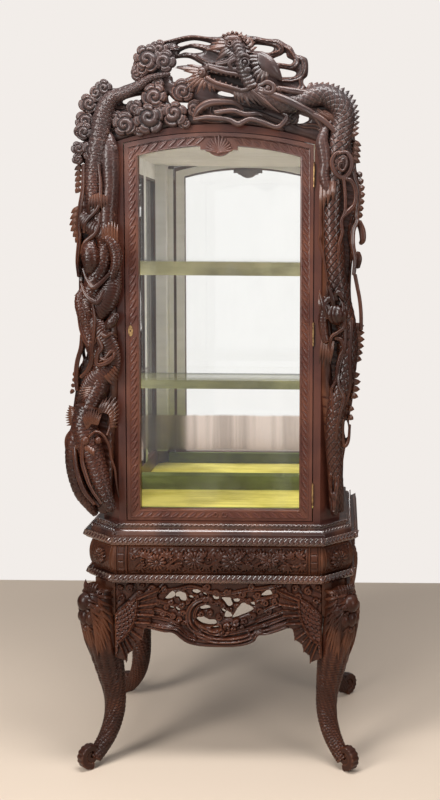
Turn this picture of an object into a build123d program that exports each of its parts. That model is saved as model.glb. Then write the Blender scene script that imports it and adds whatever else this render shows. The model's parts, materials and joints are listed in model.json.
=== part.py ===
from build123d import *
from math import sqrt
import os

# Carved display cabinet: a glazed case with dragon carvings on a stand with four
# trunk-shaped legs. Millimetres, +Z up, front towards -Y, origin on the floor in
# the middle of the cabinet.

os.makedirs("parts", exist_ok=True)

# ---- Stand -------------------------------------------------------------------
stand_height = 498  # floor to the underside of the lower board
board_thickness = 20
board_edge_radius = 6
board_front = 257.5
board_back = 257.5
lower_board_half = 347
lower_board_cant = 76
upper_board_half = 356
upper_board_cant = 84

leg_block = 58
leg_block_drop = 92
leg_block_cant = 34
apron_front_face = 235
apron_side_face = 325
apron_thickness = 20
leg_diagonal_shift = 92  # a leg stands on the line |y| = |x| - shift
roll_radius = 36
roll_half_width = 19
roll_centre_out = 335
roll_eye_radius = 12
roll_eye_proud = 4
trunk_end_rise = 21

apron_centre_drop = 177
apron_notch_drop = 138
apron_lobe_drop = 142
apron_shoulder_drop = 112
apron_end_drop = 46
apron_notch_share = 0.42
apron_shoulder_share = 0.66

wing_thickness = 18
wing_span = 117
wing_drop = 212
wing_top_drop = 20
scallop_depth = 7

# ---- Frieze and mouldings ----------------------------------------------------
frieze_height = 78
frieze_thickness = 18
frieze_inset = 14
frieze_bulge = 12
ovolo_height = 18
ovolo_projection = 32
ovolo_lip = 5
bead_height = 12
bead_projection = 18
bead_round = 4
mitre_gap = 0.2

# ---- Case --------------------------------------------------------------------
case_half_width = 310
case_front = 207.5
case_back = 228
case_cant = 50
frame_thickness = 17
post_return = 27.5
rear_post_depth = 38
side_rail_height = 56
mid_stile_width = 30
mid_stile_front = 40
threshold_lip = 3
ceiling_thickness = 18
ceiling_above_spring = 5
back_panel_thickness = 12
fit_gap = 0.3

glass_thickness = 4
groove_depth = 6

velvet_floor_thickness = 9
velvet_bar_height = 41
velvet_bar_depth = 30
sill_height = 33
sill_depth = 18
door_stop_gap = 0.5

mirror_thickness = 5
bearer_height = 41
lower_shelf_rise = 338  # from the bead moulding to the top of the bearers
upper_shelf_rise = 670
shelf_thickness = 6
shelf_depth = 155
cleat_width = 8
cleat_height = 14

# ---- Door --------------------------------------------------------------------
case_stile_width = 18.5
door_height = 964.3  # at its corners
door_side_gap = 2.5
door_end_gap = 1.7
door_rise = 29
door_stile_width = 33.4
door_rail_width = 27.3
glass_rise = 24.5
head_rise = 46
glass_rebate = 8
glass_rebate_depth = 12
door_glass_thickness = 5
glass_bevel = 25
glass_bevel_depth = 2
pendant_half_width = 47
pendant_lobe_half = 30
pendant_shoulder = 11
pendant_drop = 27

# ---- Lock and hinges ---------------------------------------------------------
lock_rise = 491.3
lock_width = 17
lock_depth = 14
lock_height = 56
lock_setback = 8
bolt_depth = 8
bolt_height = 12
bolt_clearance = 0.3
bolt_travel = 8
mortise_extra = 3
escutcheon_width = 12
escutcheon_height = 28
escutcheon_thickness = 1.2
keyhole_radius = 2.2

hinge_shares = (0.073, 0.504, 0.922)  # of the door's height
hinge_length = 58
hinge_leaf_thickness = 1.1
hinge_leaf_width = 20
knuckle_radius = 2.6
knuckle_proud = 3
knuckle_count = 5
knuckle_gap = 0.3
pin_radius = 1.2
pin_clearance = 0.05
pin_overhang = 1.5

# ---- Carvings ----------------------------------------------------------------
ground_thickness = 16
ground_half_width = 32
fret_thickness = 20
ground_foot = 40
fret_proud = 7.5
crest_proud = 5.5
roundel_radius = 27
roundel_ahead = 70
roundel_depth = 32

# ---- Levels and places that follow from the sizes above ------------------------
lower_board_top = stand_height + board_thickness
upper_board_bottom = lower_board_top + frieze_height
upper_board_top = upper_board_bottom + board_thickness
case_base = upper_board_top + ovolo_height
bead_top = case_base + bead_height
threshold_top = bead_top + threshold_lip
door_bottom = threshold_top + door_end_gap
front_thickness = frame_thickness * sqrt(2)
door_back = case_front - front_thickness
door_corner_height = door_bottom + door_height
lock_level = door_bottom + lock_rise
hinge_levels = [door_bottom + share * door_height for share in hinge_shares]
post_start = case_half_width - case_cant
opening_half = post_start - case_stile_width
door_half_width = opening_half - door_side_gap
cant_end = case_front - case_cant
fret_front = case_front + fret_proud
crest_front = case_front + crest_proud
lower_shelf_level = bead_top + lower_shelf_rise
upper_shelf_level = bead_top + upper_shelf_rise
inner_half = case_half_width - frame_thickness
inner_cant_end = cant_end - frame_thickness * (sqrt(2) - 1)
arch_spring = door_corner_height + door_end_gap
ceiling_bottom = arch_spring + ceiling_above_spring
rear_post_front = case_back - rear_post_depth
mirror_back = case_back - back_panel_thickness
sight_half = door_half_width - door_stile_width
sight_bottom = door_bottom + door_rail_width
sight_corner = door_corner_height - door_rail_width
velvet_top = case_base + velvet_floor_thickness
bearer_front = mirror_back - velvet_bar_depth
head_spring = arch_spring + 2
head_crown = head_spring + head_rise
hinge_x = door_half_width + door_side_gap / 2
hinge_y = -case_front - knuckle_proud
block_inner_x = apron_side_face - leg_block
block_inner_y = apron_front_face - leg_block


def save(piece, name):
    """Label a finished piece and write its STEP file."""
    piece.part.label = name
    export_step(piece.part, f"parts/{name}.step")


def facing_front(depth):
    """Upright plane facing the front, depth millimetres in front of the middle."""
    return Plane.XZ.offset(depth)


def plan_outline(half_width, front, back, cant, inset=0):
    """Corners of a plan whose two front corners are cut off at 45 degrees."""
    half, ahead, behind = half_width - inset, front - inset, back - inset
    cut = cant - inset * (2 - sqrt(2))
    return [
        (-(half - cut), -ahead),
        (half - cut, -ahead),
        (half, -(ahead - cut)),
        (half, behind),
        (-half, behind),
        (-half, -(ahead - cut)),
    ]


def plan_board(corners, bottom, thickness, edge_radius=0):
    """Flat board on a plan outline, with rounded edges where a radius is given."""
    with BuildPart() as board:
        with BuildSketch(Plane.XY.offset(bottom)):
            Polygon(*corners, align=None)
        extrude(amount=thickness)
        if edge_radius:
            flat = board.faces().filter_by(Axis.Z)
            fillet(flat.edges(), edge_radius)
    return board


def mitred_length(corners, side, profile, square_ends=()):
    """One length of a moulding along a side of a plan, mitred at its ends."""
    count = len(corners)
    before, start, end, after = (Vector(*corners[(side + k) % count], 0) for k in (-1, 0, 1, 2))
    run = (end - start).normalized()
    outward = Vector(run.Y, -run.X, 0)
    reach = frieze_thickness + ovolo_projection
    with BuildPart() as length:
        with BuildSketch(Plane(origin=end + run * reach, x_dir=outward, z_dir=-run)):
            with BuildLine():
                profile()
            make_face()
        extrude(amount=(end - start).length + 2 * reach)
        far_cut = run if "far" in square_ends else run + (after - end).normalized()
        near_cut = run if "near" in square_ends else run + (start - before).normalized()
        far_gap = 0 if "far" in square_ends else mitre_gap / 2
        near_gap = 0 if "near" in square_ends else mitre_gap / 2
        split(bisect_by=Plane(origin=end - run * far_gap, z_dir=far_cut), keep=Keep.BOTTOM)
        split(bisect_by=Plane(origin=start + run * near_gap, z_dir=near_cut), keep=Keep.TOP)
    return length.part


# ==== Stand =====================================================================

# Stations of a leg from the top block to the foot roll: how far out the centre
# lies, its share of the stand's height, and the radii across and along the diagonal.
leg_stations = [
    (300, 1.000, 30, 30),
    (308, 0.948, 37, 37),
    (314, 0.900, 41, 42),
    (314, 0.840, 41, 42),
    (309, 0.753, 40, 41),
    (302, 0.663, 40, 40),
    (294, 0.572, 37, 37),
    (287, 0.472, 32, 32),
    (281, 0.372, 27, 27),
    (280, 0.291, 25, 25),
    (285, 0.217, 23, 23),
    (296, 0.149, 21, 21),
    (311, 0.094, 19, 18),
]


def leg_centre(out, height, side_x, side_y):
    """Point of a leg's centre line, out millimetres from the middle across the front."""
    return Vector(side_x * out, side_y * (out - leg_diagonal_shift), height)


def make_leg(side_x=1, side_y=-1):
    """Winged-creature leg: top block, swelling knee, tapering trunk and rolled foot."""
    diagonal = Vector(side_x, side_y, 0).normalized()
    tangential = Vector(-side_y, side_x, 0).normalized()
    centres = [leg_centre(out, share * stand_height, side_x, side_y) for out, share, _, _ in leg_stations]
    centres.append(leg_centre(roll_centre_out - 6, trunk_end_rise, side_x, side_y))
    radii = [(across, along) for _, _, across, along in leg_stations]
    radii.append((roll_half_width - 1, trunk_end_rise - 7))
    roll = leg_centre(roll_centre_out, roll_radius, side_x, side_y)
    with BuildPart() as leg:
        for index, (centre, (across, along)) in enumerate(zip(centres, radii)):
            ahead = centres[min(index + 1, len(centres) - 1)]
            behind = centres[max(index - 1, 0)]
            heading = Vector(0, 0, -1) if index == 0 else ahead - behind
            with BuildSketch(Plane(origin=centre, x_dir=tangential, z_dir=heading)):
                Ellipse(across, along)
        loft(ruled=True)
        with BuildSketch(Plane(origin=roll, x_dir=diagonal, z_dir=tangential)):
            Circle(roll_radius)
        extrude(amount=roll_half_width, both=True)
        for end in (-1, 1):
            with BuildSketch(Plane(origin=roll + tangential * end * roll_half_width, x_dir=diagonal,
                                   z_dir=tangential * end)):
                Circle(roll_eye_radius)
            extrude(amount=roll_eye_proud)
        block_x = side_x * (apron_side_face - leg_block / 2)
        block_y = side_y * (apron_front_face - leg_block / 2)
        with BuildSketch(Plane.XY.offset(stand_height - leg_block_drop)):
            with Locations((block_x, block_y)):
                Rectangle(leg_block, leg_block)
            outer = Vector(side_x * apron_side_face, side_y * apron_front_face)
            cut_x = outer - Vector(side_x * leg_block_cant, 0)
            cut_y = outer - Vector(0, side_y * leg_block_cant)
            with BuildLine():
                Polyline(outer, cut_x, cut_y, outer)
            make_face(mode=Mode.SUBTRACT)
        extrude(amount=leg_block_drop)
        split(bisect_by=Plane.XY.offset(stand_height), keep=Keep.BOTTOM)
    return leg


leg_front_right = make_leg()
save(leg_front_right, "leg_front_right")
with BuildPart() as leg_front_left:
    mirror(leg_front_right.part, about=Plane.YZ)
save(leg_front_left, "leg_front_left")
for front_leg, name in ((leg_front_right, "leg_rear_right"), (leg_front_left, "leg_rear_left")):
    with BuildPart() as rear_leg:
        mirror(front_leg.part, about=Plane.XZ)
    save(rear_leg, name)


def apron_outline(half_span):
    """Scalloped apron outline: two outer lobes and a deep centre lobe."""
    notch = half_span * apron_notch_share
    shoulder = half_span * apron_shoulder_share
    top = stand_height
    for side in (1, -1):
        Line((side * half_span, top), (side * half_span, top - apron_end_drop))
        ThreePointArc(
            (side * half_span, top - apron_end_drop),
            (side * (half_span + shoulder) / 2, top - (apron_end_drop + apron_shoulder_drop) / 2 + 10),
            (side * shoulder, top - apron_shoulder_drop),
        )
        ThreePointArc(
            (side * shoulder, top - apron_shoulder_drop),
            (side * (shoulder + notch) / 2, top - apron_lobe_drop),
            (side * notch, top - apron_notch_drop),
        )
        ThreePointArc(
            (side * notch, top - apron_notch_drop),
            (side * notch * 0.55, top - apron_centre_drop + 9),
            (0, top - apron_centre_drop),
        )
    Line((-half_span, top), (half_span, top))


def make_apron(plane, half_span, openings=()):
    """Apron board between two leg blocks, with rounded openings cut through it."""
    with BuildPart() as apron:
        with BuildSketch(plane):
            with BuildLine():
                apron_outline(half_span)
            make_face()
            for x, drop, half_width, half_height, turn in openings:
                with Locations(Location((x * half_span, stand_height - drop), turn)):
                    Ellipse(half_width, half_height, mode=Mode.SUBTRACT)
        extrude(amount=-apron_thickness)
    return apron


# Openings of the wave carving: place as a share of the half span, drop below the
# board, half width, half height, turn.
wave_openings = [
    (-0.19, 84, 31, 22, -12),
    (0.26, 78, 36, 20, 18),
    (-0.42, 38, 22, 10, 8),
    (-0.10, 34, 20, 8, 0),
    (0.47, 36, 15, 7, 20),
]
save(make_apron(facing_front(apron_front_face), block_inner_x, wave_openings), "apron_front")
save(make_apron(Plane.XZ.rotated((0, 0, 180)).offset(apron_front_face), block_inner_x), "apron_rear")
side_openings = [(-0.28, 84, 26, 18, -12), (0.34, 74, 22, 14, 18)]
for side_name, side_x in (("left", -1), ("right", 1)):
    side_plane = Plane(origin=(side_x * apron_side_face, 0, 0), x_dir=(0, side_x, 0), z_dir=(side_x, 0, 0))
    save(make_apron(side_plane, block_inner_y, side_openings), f"apron_{side_name}")

# Tips of the wing's fin rays: share of the span from the leg, share of the drop.
ray_tips = [(1.00, 0.03), (0.95, 0.20), (0.86, 0.36), (0.79, 0.46), (0.60, 0.68), (0.40, 0.84), (0.28, 1.00)]


def make_wing(plane, towards):
    """Spread wing on an apron: arched top and a scalloped edge between its fin rays."""
    tips = [(towards * along * wing_span, -wing_top_drop - down * (wing_drop - wing_top_drop)) for along, down in ray_tips]
    with BuildPart() as wing:
        with BuildSketch(plane):
            with BuildLine():
                ThreePointArc((0, -wing_top_drop - 10), (towards * wing_span * 0.5, -wing_top_drop), tips[0])
                for tip, next_tip in zip(tips, tips[1:]):
                    middle = (Vector(*tip) + Vector(*next_tip)) / 2
                    side = (Vector(*next_tip) - Vector(*tip)).normalized()
                    pull = Vector(side.Y, -side.X) * towards * scallop_depth
                    ThreePointArc(tip, middle + pull, next_tip)
                Polyline(tips[-1], (0, -wing_drop + 14), (0, -wing_top_drop - 10))
            make_face()
        extrude(amount=wing_thickness)
    return wing


for side_name, side_x in (("left", -1), ("right", 1)):
    front_root = Plane(origin=(side_x * block_inner_x, -apron_front_face, stand_height), x_dir=(1, 0, 0), z_dir=(0, -1, 0))
    save(make_wing(front_root, -side_x), f"wing_front_{side_name}")
    for end_name, side_y in (("front", -1), ("rear", 1)):
        side_root = Plane(
            origin=(side_x * apron_side_face, side_y * block_inner_y, stand_height),
            x_dir=(0, side_x, 0),
            z_dir=(side_x, 0, 0),
        )
        save(make_wing(side_root, -side_y * side_x), f"wing_{side_name}_{end_name}")

# ==== Frieze and mouldings ======================================================

lower_plan = plan_outline(lower_board_half, board_front, board_back, lower_board_cant)
upper_plan = plan_outline(upper_board_half, board_front, board_back, upper_board_cant)
save(plan_board(lower_plan, stand_height, board_thickness, board_edge_radius), "lower_board")
save(plan_board(upper_plan, upper_board_bottom, board_thickness, board_edge_radius), "upper_board")

frieze_plan = plan_outline(lower_board_half, board_front, board_back, lower_board_cant, frieze_inset)


def cushion_profile():
    """Frieze board with a cushion-shaped face."""
    middle = lower_board_top + frieze_height / 2
    ThreePointArc((0, lower_board_top), (frieze_bulge, middle), (0, upper_board_bottom))
    Polyline(
        (0, upper_board_bottom),
        (-frieze_thickness, upper_board_bottom),
        (-frieze_thickness, lower_board_top),
        (0, lower_board_top),
    )


for side, name in ((0, "frieze_front"), (2, "frieze_right"), (3, "frieze_back"), (4, "frieze_left")):
    with BuildPart() as frieze:
        add(mitred_length(frieze_plan, side, cushion_profile))
    save(frieze, name)
with BuildPart() as frieze_corners:
    for side in (1, 5):
        add(mitred_length(frieze_plan, side, cushion_profile))
save(frieze_corners, "frieze_corners")

case_plan = plan_outline(case_half_width, case_front, case_back, case_cant)
moulded_sides = {0: (), 1: (), 2: ("far",), 4: ("near",), 5: ()}


def ovolo_profile():
    """Quarter-round base moulding with a lip at its foot."""
    Polyline((0, case_base), (0, upper_board_top), (ovolo_projection, upper_board_top),
             (ovolo_projection, upper_board_top + ovolo_lip))
    ThreePointArc(
        (ovolo_projection, upper_board_top + ovolo_lip),
        (ovolo_projection - 3.5, case_base - 5),
        (ovolo_projection - 12, case_base),
    )
    Line((ovolo_projection - 12, case_base), (0, case_base))


def bead_profile():
    """Narrow moulding with a rounded outer edge, which carries the row of beads."""
    Polyline((0, case_base), (bead_projection, case_base), (bead_projection, bead_top - bead_round))
    RadiusArc((bead_projection, bead_top - bead_round), (bead_projection - bead_round, bead_top), -bead_round)
    Polyline((bead_projection - bead_round, bead_top), (0, bead_top), (0, case_base))


for profile, name in ((ovolo_profile, "ovolo_moulding"), (bead_profile, "bead_moulding")):
    with BuildPart() as moulding:
        for side, square_ends in moulded_sides.items():
            add(mitred_length(case_plan, side, profile, square_ends))
    save(moulding, name)

# ==== Case ======================================================================

save(plan_board(case_plan, upper_board_top, ovolo_height), "case_floor")

with BuildPart() as threshold:
    with BuildSketch(facing_front(door_back)):
        with Locations((0, case_base)):
            Rectangle(2 * post_start, threshold_top - case_base, align=(Align.CENTER, Align.MIN))
    extrude(amount=front_thickness)
save(threshold, "threshold_rail")

glass_middle = inner_half + frame_thickness / 2 + 1
pane_front = cant_end - post_return
pane_bottom = case_base + side_rail_height
pane_top = ceiling_bottom - side_rail_height
groove_width = glass_thickness + 2 * fit_gap


def glass_groove(side_x, y_low, y_high, z_low, z_high):
    """Groove for the side pane, cut out of the frame member in the current part."""
    with BuildSketch(Plane.XY.offset(z_low)) as groove:
        with Locations((side_x * glass_middle, (y_low + y_high) / 2)):
            Rectangle(groove_width, y_high - y_low)
    extrude(groove.sketch, amount=z_high - z_low, mode=Mode.SUBTRACT)


for side_name, side_x in (("left", -1), ("right", 1)):
    with BuildPart() as case_stile:
        with BuildSketch(facing_front(door_back)):
            with Locations((side_x * (opening_half + post_start) / 2, threshold_top)):
                Rectangle(post_start - opening_half, arch_spring - threshold_top,
                          align=(Align.CENTER, Align.MIN))
        extrude(amount=front_thickness)
        if side_name == "left":
            mortise_depth = bolt_travel + mortise_extra
            with BuildSketch(Plane.YZ.offset(-opening_half)):
                with Locations((-(case_front + door_back) / 2, lock_level)):
                    Rectangle(bolt_depth + 4 * bolt_clearance, bolt_height + 4 * bolt_clearance)
            extrude(amount=-mortise_depth, mode=Mode.SUBTRACT)
    save(case_stile, f"case_stile_{side_name}")

    with BuildPart() as front_post:
        with BuildSketch(Plane.XY.offset(case_base)):
            with BuildLine():
                Polyline(
                    (side_x * post_start, -case_front),
                    (side_x * case_half_width, -cant_end),
                    (side_x * case_half_width, -pane_front),
                    (side_x * inner_half, -pane_front),
                    (side_x * inner_half, -inner_cant_end),
                    (side_x * post_start, -door_back),
                    (side_x * post_start, -case_front),
                )
            make_face()
        extrude(amount=ceiling_bottom - case_base)
        glass_groove(side_x, -pane_front - groove_depth, -pane_front, case_base, ceiling_bottom)
    save(front_post, f"front_post_{side_name}")

    with BuildPart() as rear_post:
        with BuildSketch(Plane.XY.offset(case_base)):
            with Locations((side_x * (inner_half + case_half_width) / 2, rear_post_front)):
                Rectangle(frame_thickness, rear_post_depth, align=(Align.CENTER, Align.MIN))
        extrude(amount=ceiling_bottom - case_base)
        glass_groove(side_x, rear_post_front, rear_post_front + groove_depth, case_base, ceiling_bottom)
    save(rear_post, f"rear_post_{side_name}")

    bar_thickness = glass_middle - glass_thickness / 2 - fit_gap - inner_half
    with BuildPart() as side_frame:
        for low, high, groove_low, groove_high in (
            (case_base, pane_bottom, pane_bottom - groove_depth, pane_bottom),
            (pane_top, ceiling_bottom, pane_top, pane_top + groove_depth),
        ):
            with BuildSketch(Plane.XY.offset(low)):
                with Locations((side_x * (inner_half + case_half_width) / 2, (rear_post_front - pane_front) / 2)):
                    Rectangle(frame_thickness, rear_post_front + pane_front)
            extrude(amount=high - low)
            glass_groove(side_x, -pane_front, rear_post_front, groove_low, groove_high)
        with BuildSketch(Plane.XY.offset(pane_bottom + fit_gap / 2)):
            with Locations((side_x * (inner_half + bar_thickness / 2), mid_stile_front + mid_stile_width / 2)):
                Rectangle(bar_thickness, mid_stile_width)
        extrude(amount=pane_top - pane_bottom - fit_gap)
    save(side_frame, f"side_frame_{side_name}")

    with BuildPart() as side_glass:
        with BuildSketch(Plane.YZ.offset(side_x * (glass_middle - glass_thickness / 2))):
            with Locations(((rear_post_front - pane_front) / 2, (pane_bottom + pane_top) / 2)):
                Rectangle(rear_post_front + pane_front + 2 * (groove_depth - fit_gap),
                          pane_top - pane_bottom + 2 * (groove_depth - fit_gap))
        extrude(amount=side_x * glass_thickness)
    save(side_glass, f"side_glass_{side_name}")

with BuildPart() as back_panel:
    with BuildSketch(facing_front(-case_back)):
        with Locations((0, case_base)):
            Rectangle(2 * inner_half, ceiling_bottom - case_base, align=(Align.CENTER, Align.MIN))
    extrude(amount=back_panel_thickness)
save(back_panel, "back_panel")

lining_half = inner_half - fit_gap
mirror_spans = [
    (velvet_top + velvet_bar_height, lower_shelf_level - bearer_height),
    (lower_shelf_level, upper_shelf_level - bearer_height),
    (upper_shelf_level, ceiling_bottom),
]
with BuildPart() as mirror_plates:
    for low, high in mirror_spans:
        with BuildSketch(facing_front(-mirror_back)):
            with Locations((0, (low + high) / 2)):
                Rectangle(2 * lining_half, high - low - 2 * fit_gap)
        extrude(amount=mirror_thickness)
save(mirror_plates, "mirror_plates")

with BuildPart() as floor_velvet:
    with BuildSketch(Plane.XY.offset(case_base)):
        with BuildLine():
            Polyline(
                (-post_start, -door_back + fit_gap),
                (post_start, -door_back + fit_gap),
                (lining_half, -inner_cant_end + fit_gap),
                (lining_half, mirror_back),
                (-lining_half, mirror_back),
                (-lining_half, -inner_cant_end + fit_gap),
                (-post_start, -door_back + fit_gap),
            )
        make_face()
    extrude(amount=velvet_floor_thickness)
save(floor_velvet, "floor_velvet")

with BuildPart() as floor_bars:
    with BuildSketch(Plane.XY.offset(velvet_top)):
        with Locations((0, bearer_front)):
            Rectangle(2 * lining_half, velvet_bar_depth, align=(Align.CENTER, Align.MIN))
    extrude(amount=velvet_bar_height)
    with BuildSketch(Plane.XY.offset(velvet_top)):
        with Locations((0, -door_back + door_stop_gap)):
            Rectangle(2 * post_start, sill_depth, align=(Align.CENTER, Align.MIN))
    extrude(amount=sill_height)
save(floor_bars, "floor_bars")

with BuildPart() as shelf_bearers:
    for level in (lower_shelf_level, upper_shelf_level):
        with BuildSketch(Plane.XY.offset(level - bearer_height)):
            with Locations((0, bearer_front)):
                Rectangle(2 * lining_half, velvet_bar_depth, align=(Align.CENTER, Align.MIN))
        extrude(amount=bearer_height)
save(shelf_bearers, "shelf_bearers")

shelf_back = mirror_back - mirror_thickness - fit_gap
shelf_front = shelf_back - shelf_depth
with BuildPart() as shelf_cleats:
    for level in (lower_shelf_level, upper_shelf_level):
        for side_x in (-1, 1):
            with BuildSketch(Plane.XY.offset(level - cleat_height)):
                with Locations((side_x * (inner_half - cleat_width / 2), mid_stile_front)):
                    Rectangle(cleat_width, bearer_front - fit_gap - mid_stile_front, align=(Align.CENTER, Align.MIN))
            extrude(amount=cleat_height)
save(shelf_cleats, "shelf_cleats")

for name, level in (("shelf_glass_lower", lower_shelf_level), ("shelf_glass_upper", upper_shelf_level)):
    with BuildPart() as shelf_glass:
        with BuildSketch(Plane.XY.offset(level)):
            with Locations((0, shelf_front)):
                Rectangle(2 * (lining_half - 1), shelf_depth, align=(Align.CENTER, Align.MIN))
        extrude(amount=shelf_thickness)
        chamfer(shelf_glass.edges().filter_by(Axis.X).group_by(Axis.Y)[0], 1)
    save(shelf_glass, name)

ceiling_plan = [
    (-post_start - front_thickness, -door_back),
    (post_start + front_thickness, -door_back),
    (case_half_width, -cant_end),
    (case_half_width, case_back),
    (-case_half_width, case_back),
    (-case_half_width, -cant_end),
]
save(plan_board(ceiling_plan, ceiling_bottom, ceiling_thickness), "case_ceiling")

with BuildPart() as head_rail:
    with BuildSketch(facing_front(door_back)):
        with BuildLine():
            ThreePointArc((-opening_half, arch_spring), (0, arch_spring + door_rise), (opening_half, arch_spring))
            Polyline((opening_half, arch_spring), (post_start, arch_spring), (post_start, head_spring))
            ThreePointArc((post_start, head_spring), (0, head_crown), (-post_start, head_spring))
            Polyline((-post_start, head_spring), (-post_start, arch_spring), (-opening_half, arch_spring))
        make_face()
    extrude(amount=front_thickness)
save(head_rail, "head_rail")

# ==== Door ======================================================================

rebate_front = case_front - glass_rebate_depth
rebate_half = sight_half + glass_rebate
rebate_bottom = sight_bottom - glass_rebate
rebate_corner = sight_corner + glass_rebate


def arched_opening(half_width, bottom, corner, rise):
    """Outline of an opening with a flat foot and an arched head."""
    Polyline((-half_width, corner), (-half_width, bottom), (half_width, bottom), (half_width, corner))
    ThreePointArc((half_width, corner), (0, corner + rise), (-half_width, corner))


def cut_glass_rebate():
    """Rebate for the door glass, cut from the back of the member in the current part."""
    with BuildSketch(facing_front(rebate_front)) as rebate:
        with BuildLine():
            arched_opening(rebate_half, rebate_bottom, rebate_corner, glass_rise)
        make_face()
    extrude(rebate.sketch, amount=-front_thickness, mode=Mode.SUBTRACT)


for side_name, side_x in (("left", -1), ("right", 1)):
    with BuildPart() as door_stile:
        with BuildSketch(facing_front(door_back)):
            with BuildLine():
                Polyline(
                    (side_x * door_half_width, door_bottom),
                    (side_x * sight_half, sight_bottom),
                    (side_x * sight_half, sight_corner),
                    (side_x * door_half_width, door_corner_height),
                    (side_x * door_half_width, door_bottom),
                )
            make_face()
        extrude(amount=front_thickness)
        cut_glass_rebate()
        if side_name == "left":
            lock_face = -door_half_width + lock_setback
            middle_y = -(case_front + door_back) / 2
            with BuildSketch(Plane.XY.offset(lock_level - lock_height / 2)):
                with Locations((lock_face, middle_y)):
                    Rectangle(lock_width, lock_depth, align=(Align.MIN, Align.CENTER))
            extrude(amount=lock_height, mode=Mode.SUBTRACT)
            with BuildSketch(Plane.YZ.offset(lock_face)):
                with Locations((middle_y, lock_level)):
                    Rectangle(bolt_depth + 2 * bolt_clearance, bolt_height + 2 * bolt_clearance)
            extrude(amount=-lock_setback, mode=Mode.SUBTRACT)
            with BuildSketch(facing_front(case_front)):
                with Locations((lock_face + lock_width / 2 - 4, lock_level)):
                    Circle(keyhole_radius)
            extrude(amount=-(case_front + middle_y - lock_depth / 2), mode=Mode.SUBTRACT)
    save(door_stile, f"door_stile_{side_name}")

with BuildPart() as door_top_rail:
    with BuildSketch(facing_front(door_back)):
        with BuildLine():
            ThreePointArc(
                (door_half_width, door_corner_height),
                (0, door_corner_height + door_rise),
                (-door_half_width, door_corner_height),
            )
            Line((-door_half_width, door_corner_height), (-sight_half, sight_corner))
            ThreePointArc((-sight_half, sight_corner), (0, sight_corner + glass_rise), (sight_half, sight_corner))
            Line((sight_half, sight_corner), (door_half_width, door_corner_height))
        make_face()
    extrude(amount=front_thickness)
    cut_glass_rebate()
    # The palmette pendant hangs from the front layer of the rail, before the glass.
    pendant_top = sight_corner + glass_rise + 4
    lobe_top = sight_corner + glass_rise - pendant_shoulder
    pendant_bottom = sight_corner + glass_rise - pendant_drop
    with BuildSketch(facing_front(rebate_front)):
        with BuildLine():
            Polyline((pendant_lobe_half, lobe_top), (pendant_half_width, lobe_top), (pendant_half_width, pendant_top),
                     (-pendant_half_width, pendant_top), (-pendant_half_width, lobe_top), (-pendant_lobe_half, lobe_top))
            ThreePointArc((-pendant_lobe_half, lobe_top), (0, pendant_bottom), (pendant_lobe_half, lobe_top))
        make_face()
    extrude(amount=glass_rebate_depth)
save(door_top_rail, "door_top_rail")

with BuildPart() as door_bottom_rail:
    with BuildSketch(facing_front(door_back)):
        with BuildLine():
            Polyline(
                (-door_half_width, door_bottom),
                (door_half_width, door_bottom),
                (sight_half, sight_bottom),
                (-sight_half, sight_bottom),
                (-door_half_width, door_bottom),
            )
        make_face()
    extrude(amount=front_thickness)
    cut_glass_rebate()
save(door_bottom_rail, "door_bottom_rail")

with BuildPart() as door_glass:
    with BuildSketch(facing_front(rebate_front - glass_bevel_depth)):
        with BuildLine():
            arched_opening(rebate_half - fit_gap, rebate_bottom + fit_gap, rebate_corner - fit_gap, glass_rise)
        make_face()
    extrude(amount=-door_glass_thickness + glass_bevel_depth)
    for depth, reveal in ((rebate_front - glass_bevel_depth, fit_gap - glass_rebate), (rebate_front, glass_bevel)):
        with BuildSketch(facing_front(depth)):
            with BuildLine():
                arched_opening(sight_half - reveal, sight_bottom + reveal, sight_corner - reveal, glass_rise)
            make_face()
    loft(ruled=True)
save(door_glass, "door_glass")

bead_front = rebate_front - door_glass_thickness
with BuildPart() as glazing_beads:
    with BuildSketch(facing_front(bead_front)):
        with BuildLine():
            arched_opening(rebate_half - fit_gap, rebate_bottom + fit_gap, rebate_corner - fit_gap, glass_rise)
        make_face()
        with BuildLine():
            arched_opening(sight_half, sight_bottom, sight_corner, glass_rise)
        make_face(mode=Mode.SUBTRACT)
        for side_x in (-1, 1):
            for outer_z, inner_z in ((rebate_bottom, sight_bottom), (rebate_corner, sight_corner)):
                with Locations(((rebate_half + sight_half) / 2 * side_x, inner_z)):
                    Rectangle(2 * glass_rebate, mitre_gap, mode=Mode.SUBTRACT)
    extrude(amount=-(bead_front - door_back))
save(glazing_beads, "glazing_beads")

# ==== Lock ======================================================================

with BuildPart() as lock_case:
    with BuildSketch(Plane.XY.offset(lock_level - lock_height / 2)):
        with Locations((lock_face, middle_y)):
            Rectangle(lock_width, lock_depth, align=(Align.MIN, Align.CENTER))
    extrude(amount=lock_height)
    with BuildSketch(Plane.YZ.offset(lock_face)):
        with Locations((middle_y, lock_level)):
            Rectangle(bolt_depth + 2 * bolt_clearance, bolt_height + 2 * bolt_clearance)
    extrude(amount=lock_width - 2, mode=Mode.SUBTRACT)
save(lock_case, "lock_case")

bolt_length = lock_setback + lock_width - 2 - 2 * bolt_clearance - 1
with BuildPart() as lock_bolt:
    with BuildSketch(Plane.YZ.offset(-door_half_width + 0.5)):
        with Locations((middle_y, lock_level)):
            Rectangle(bolt_depth, bolt_height)
    extrude(amount=bolt_length)
save(lock_bolt, "lock_bolt")

keyhole_x = lock_face + lock_width / 2 - 4
with BuildPart() as escutcheon:
    with BuildSketch(facing_front(case_front)):
        with Locations((keyhole_x, lock_level)):
            Ellipse(escutcheon_width / 2, escutcheon_height / 2)
            Circle(keyhole_radius, mode=Mode.SUBTRACT)
    extrude(amount=escutcheon_thickness)
save(escutcheon, "escutcheon")

# ==== Hinges ====================================================================

segment = hinge_length / knuckle_count


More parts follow.
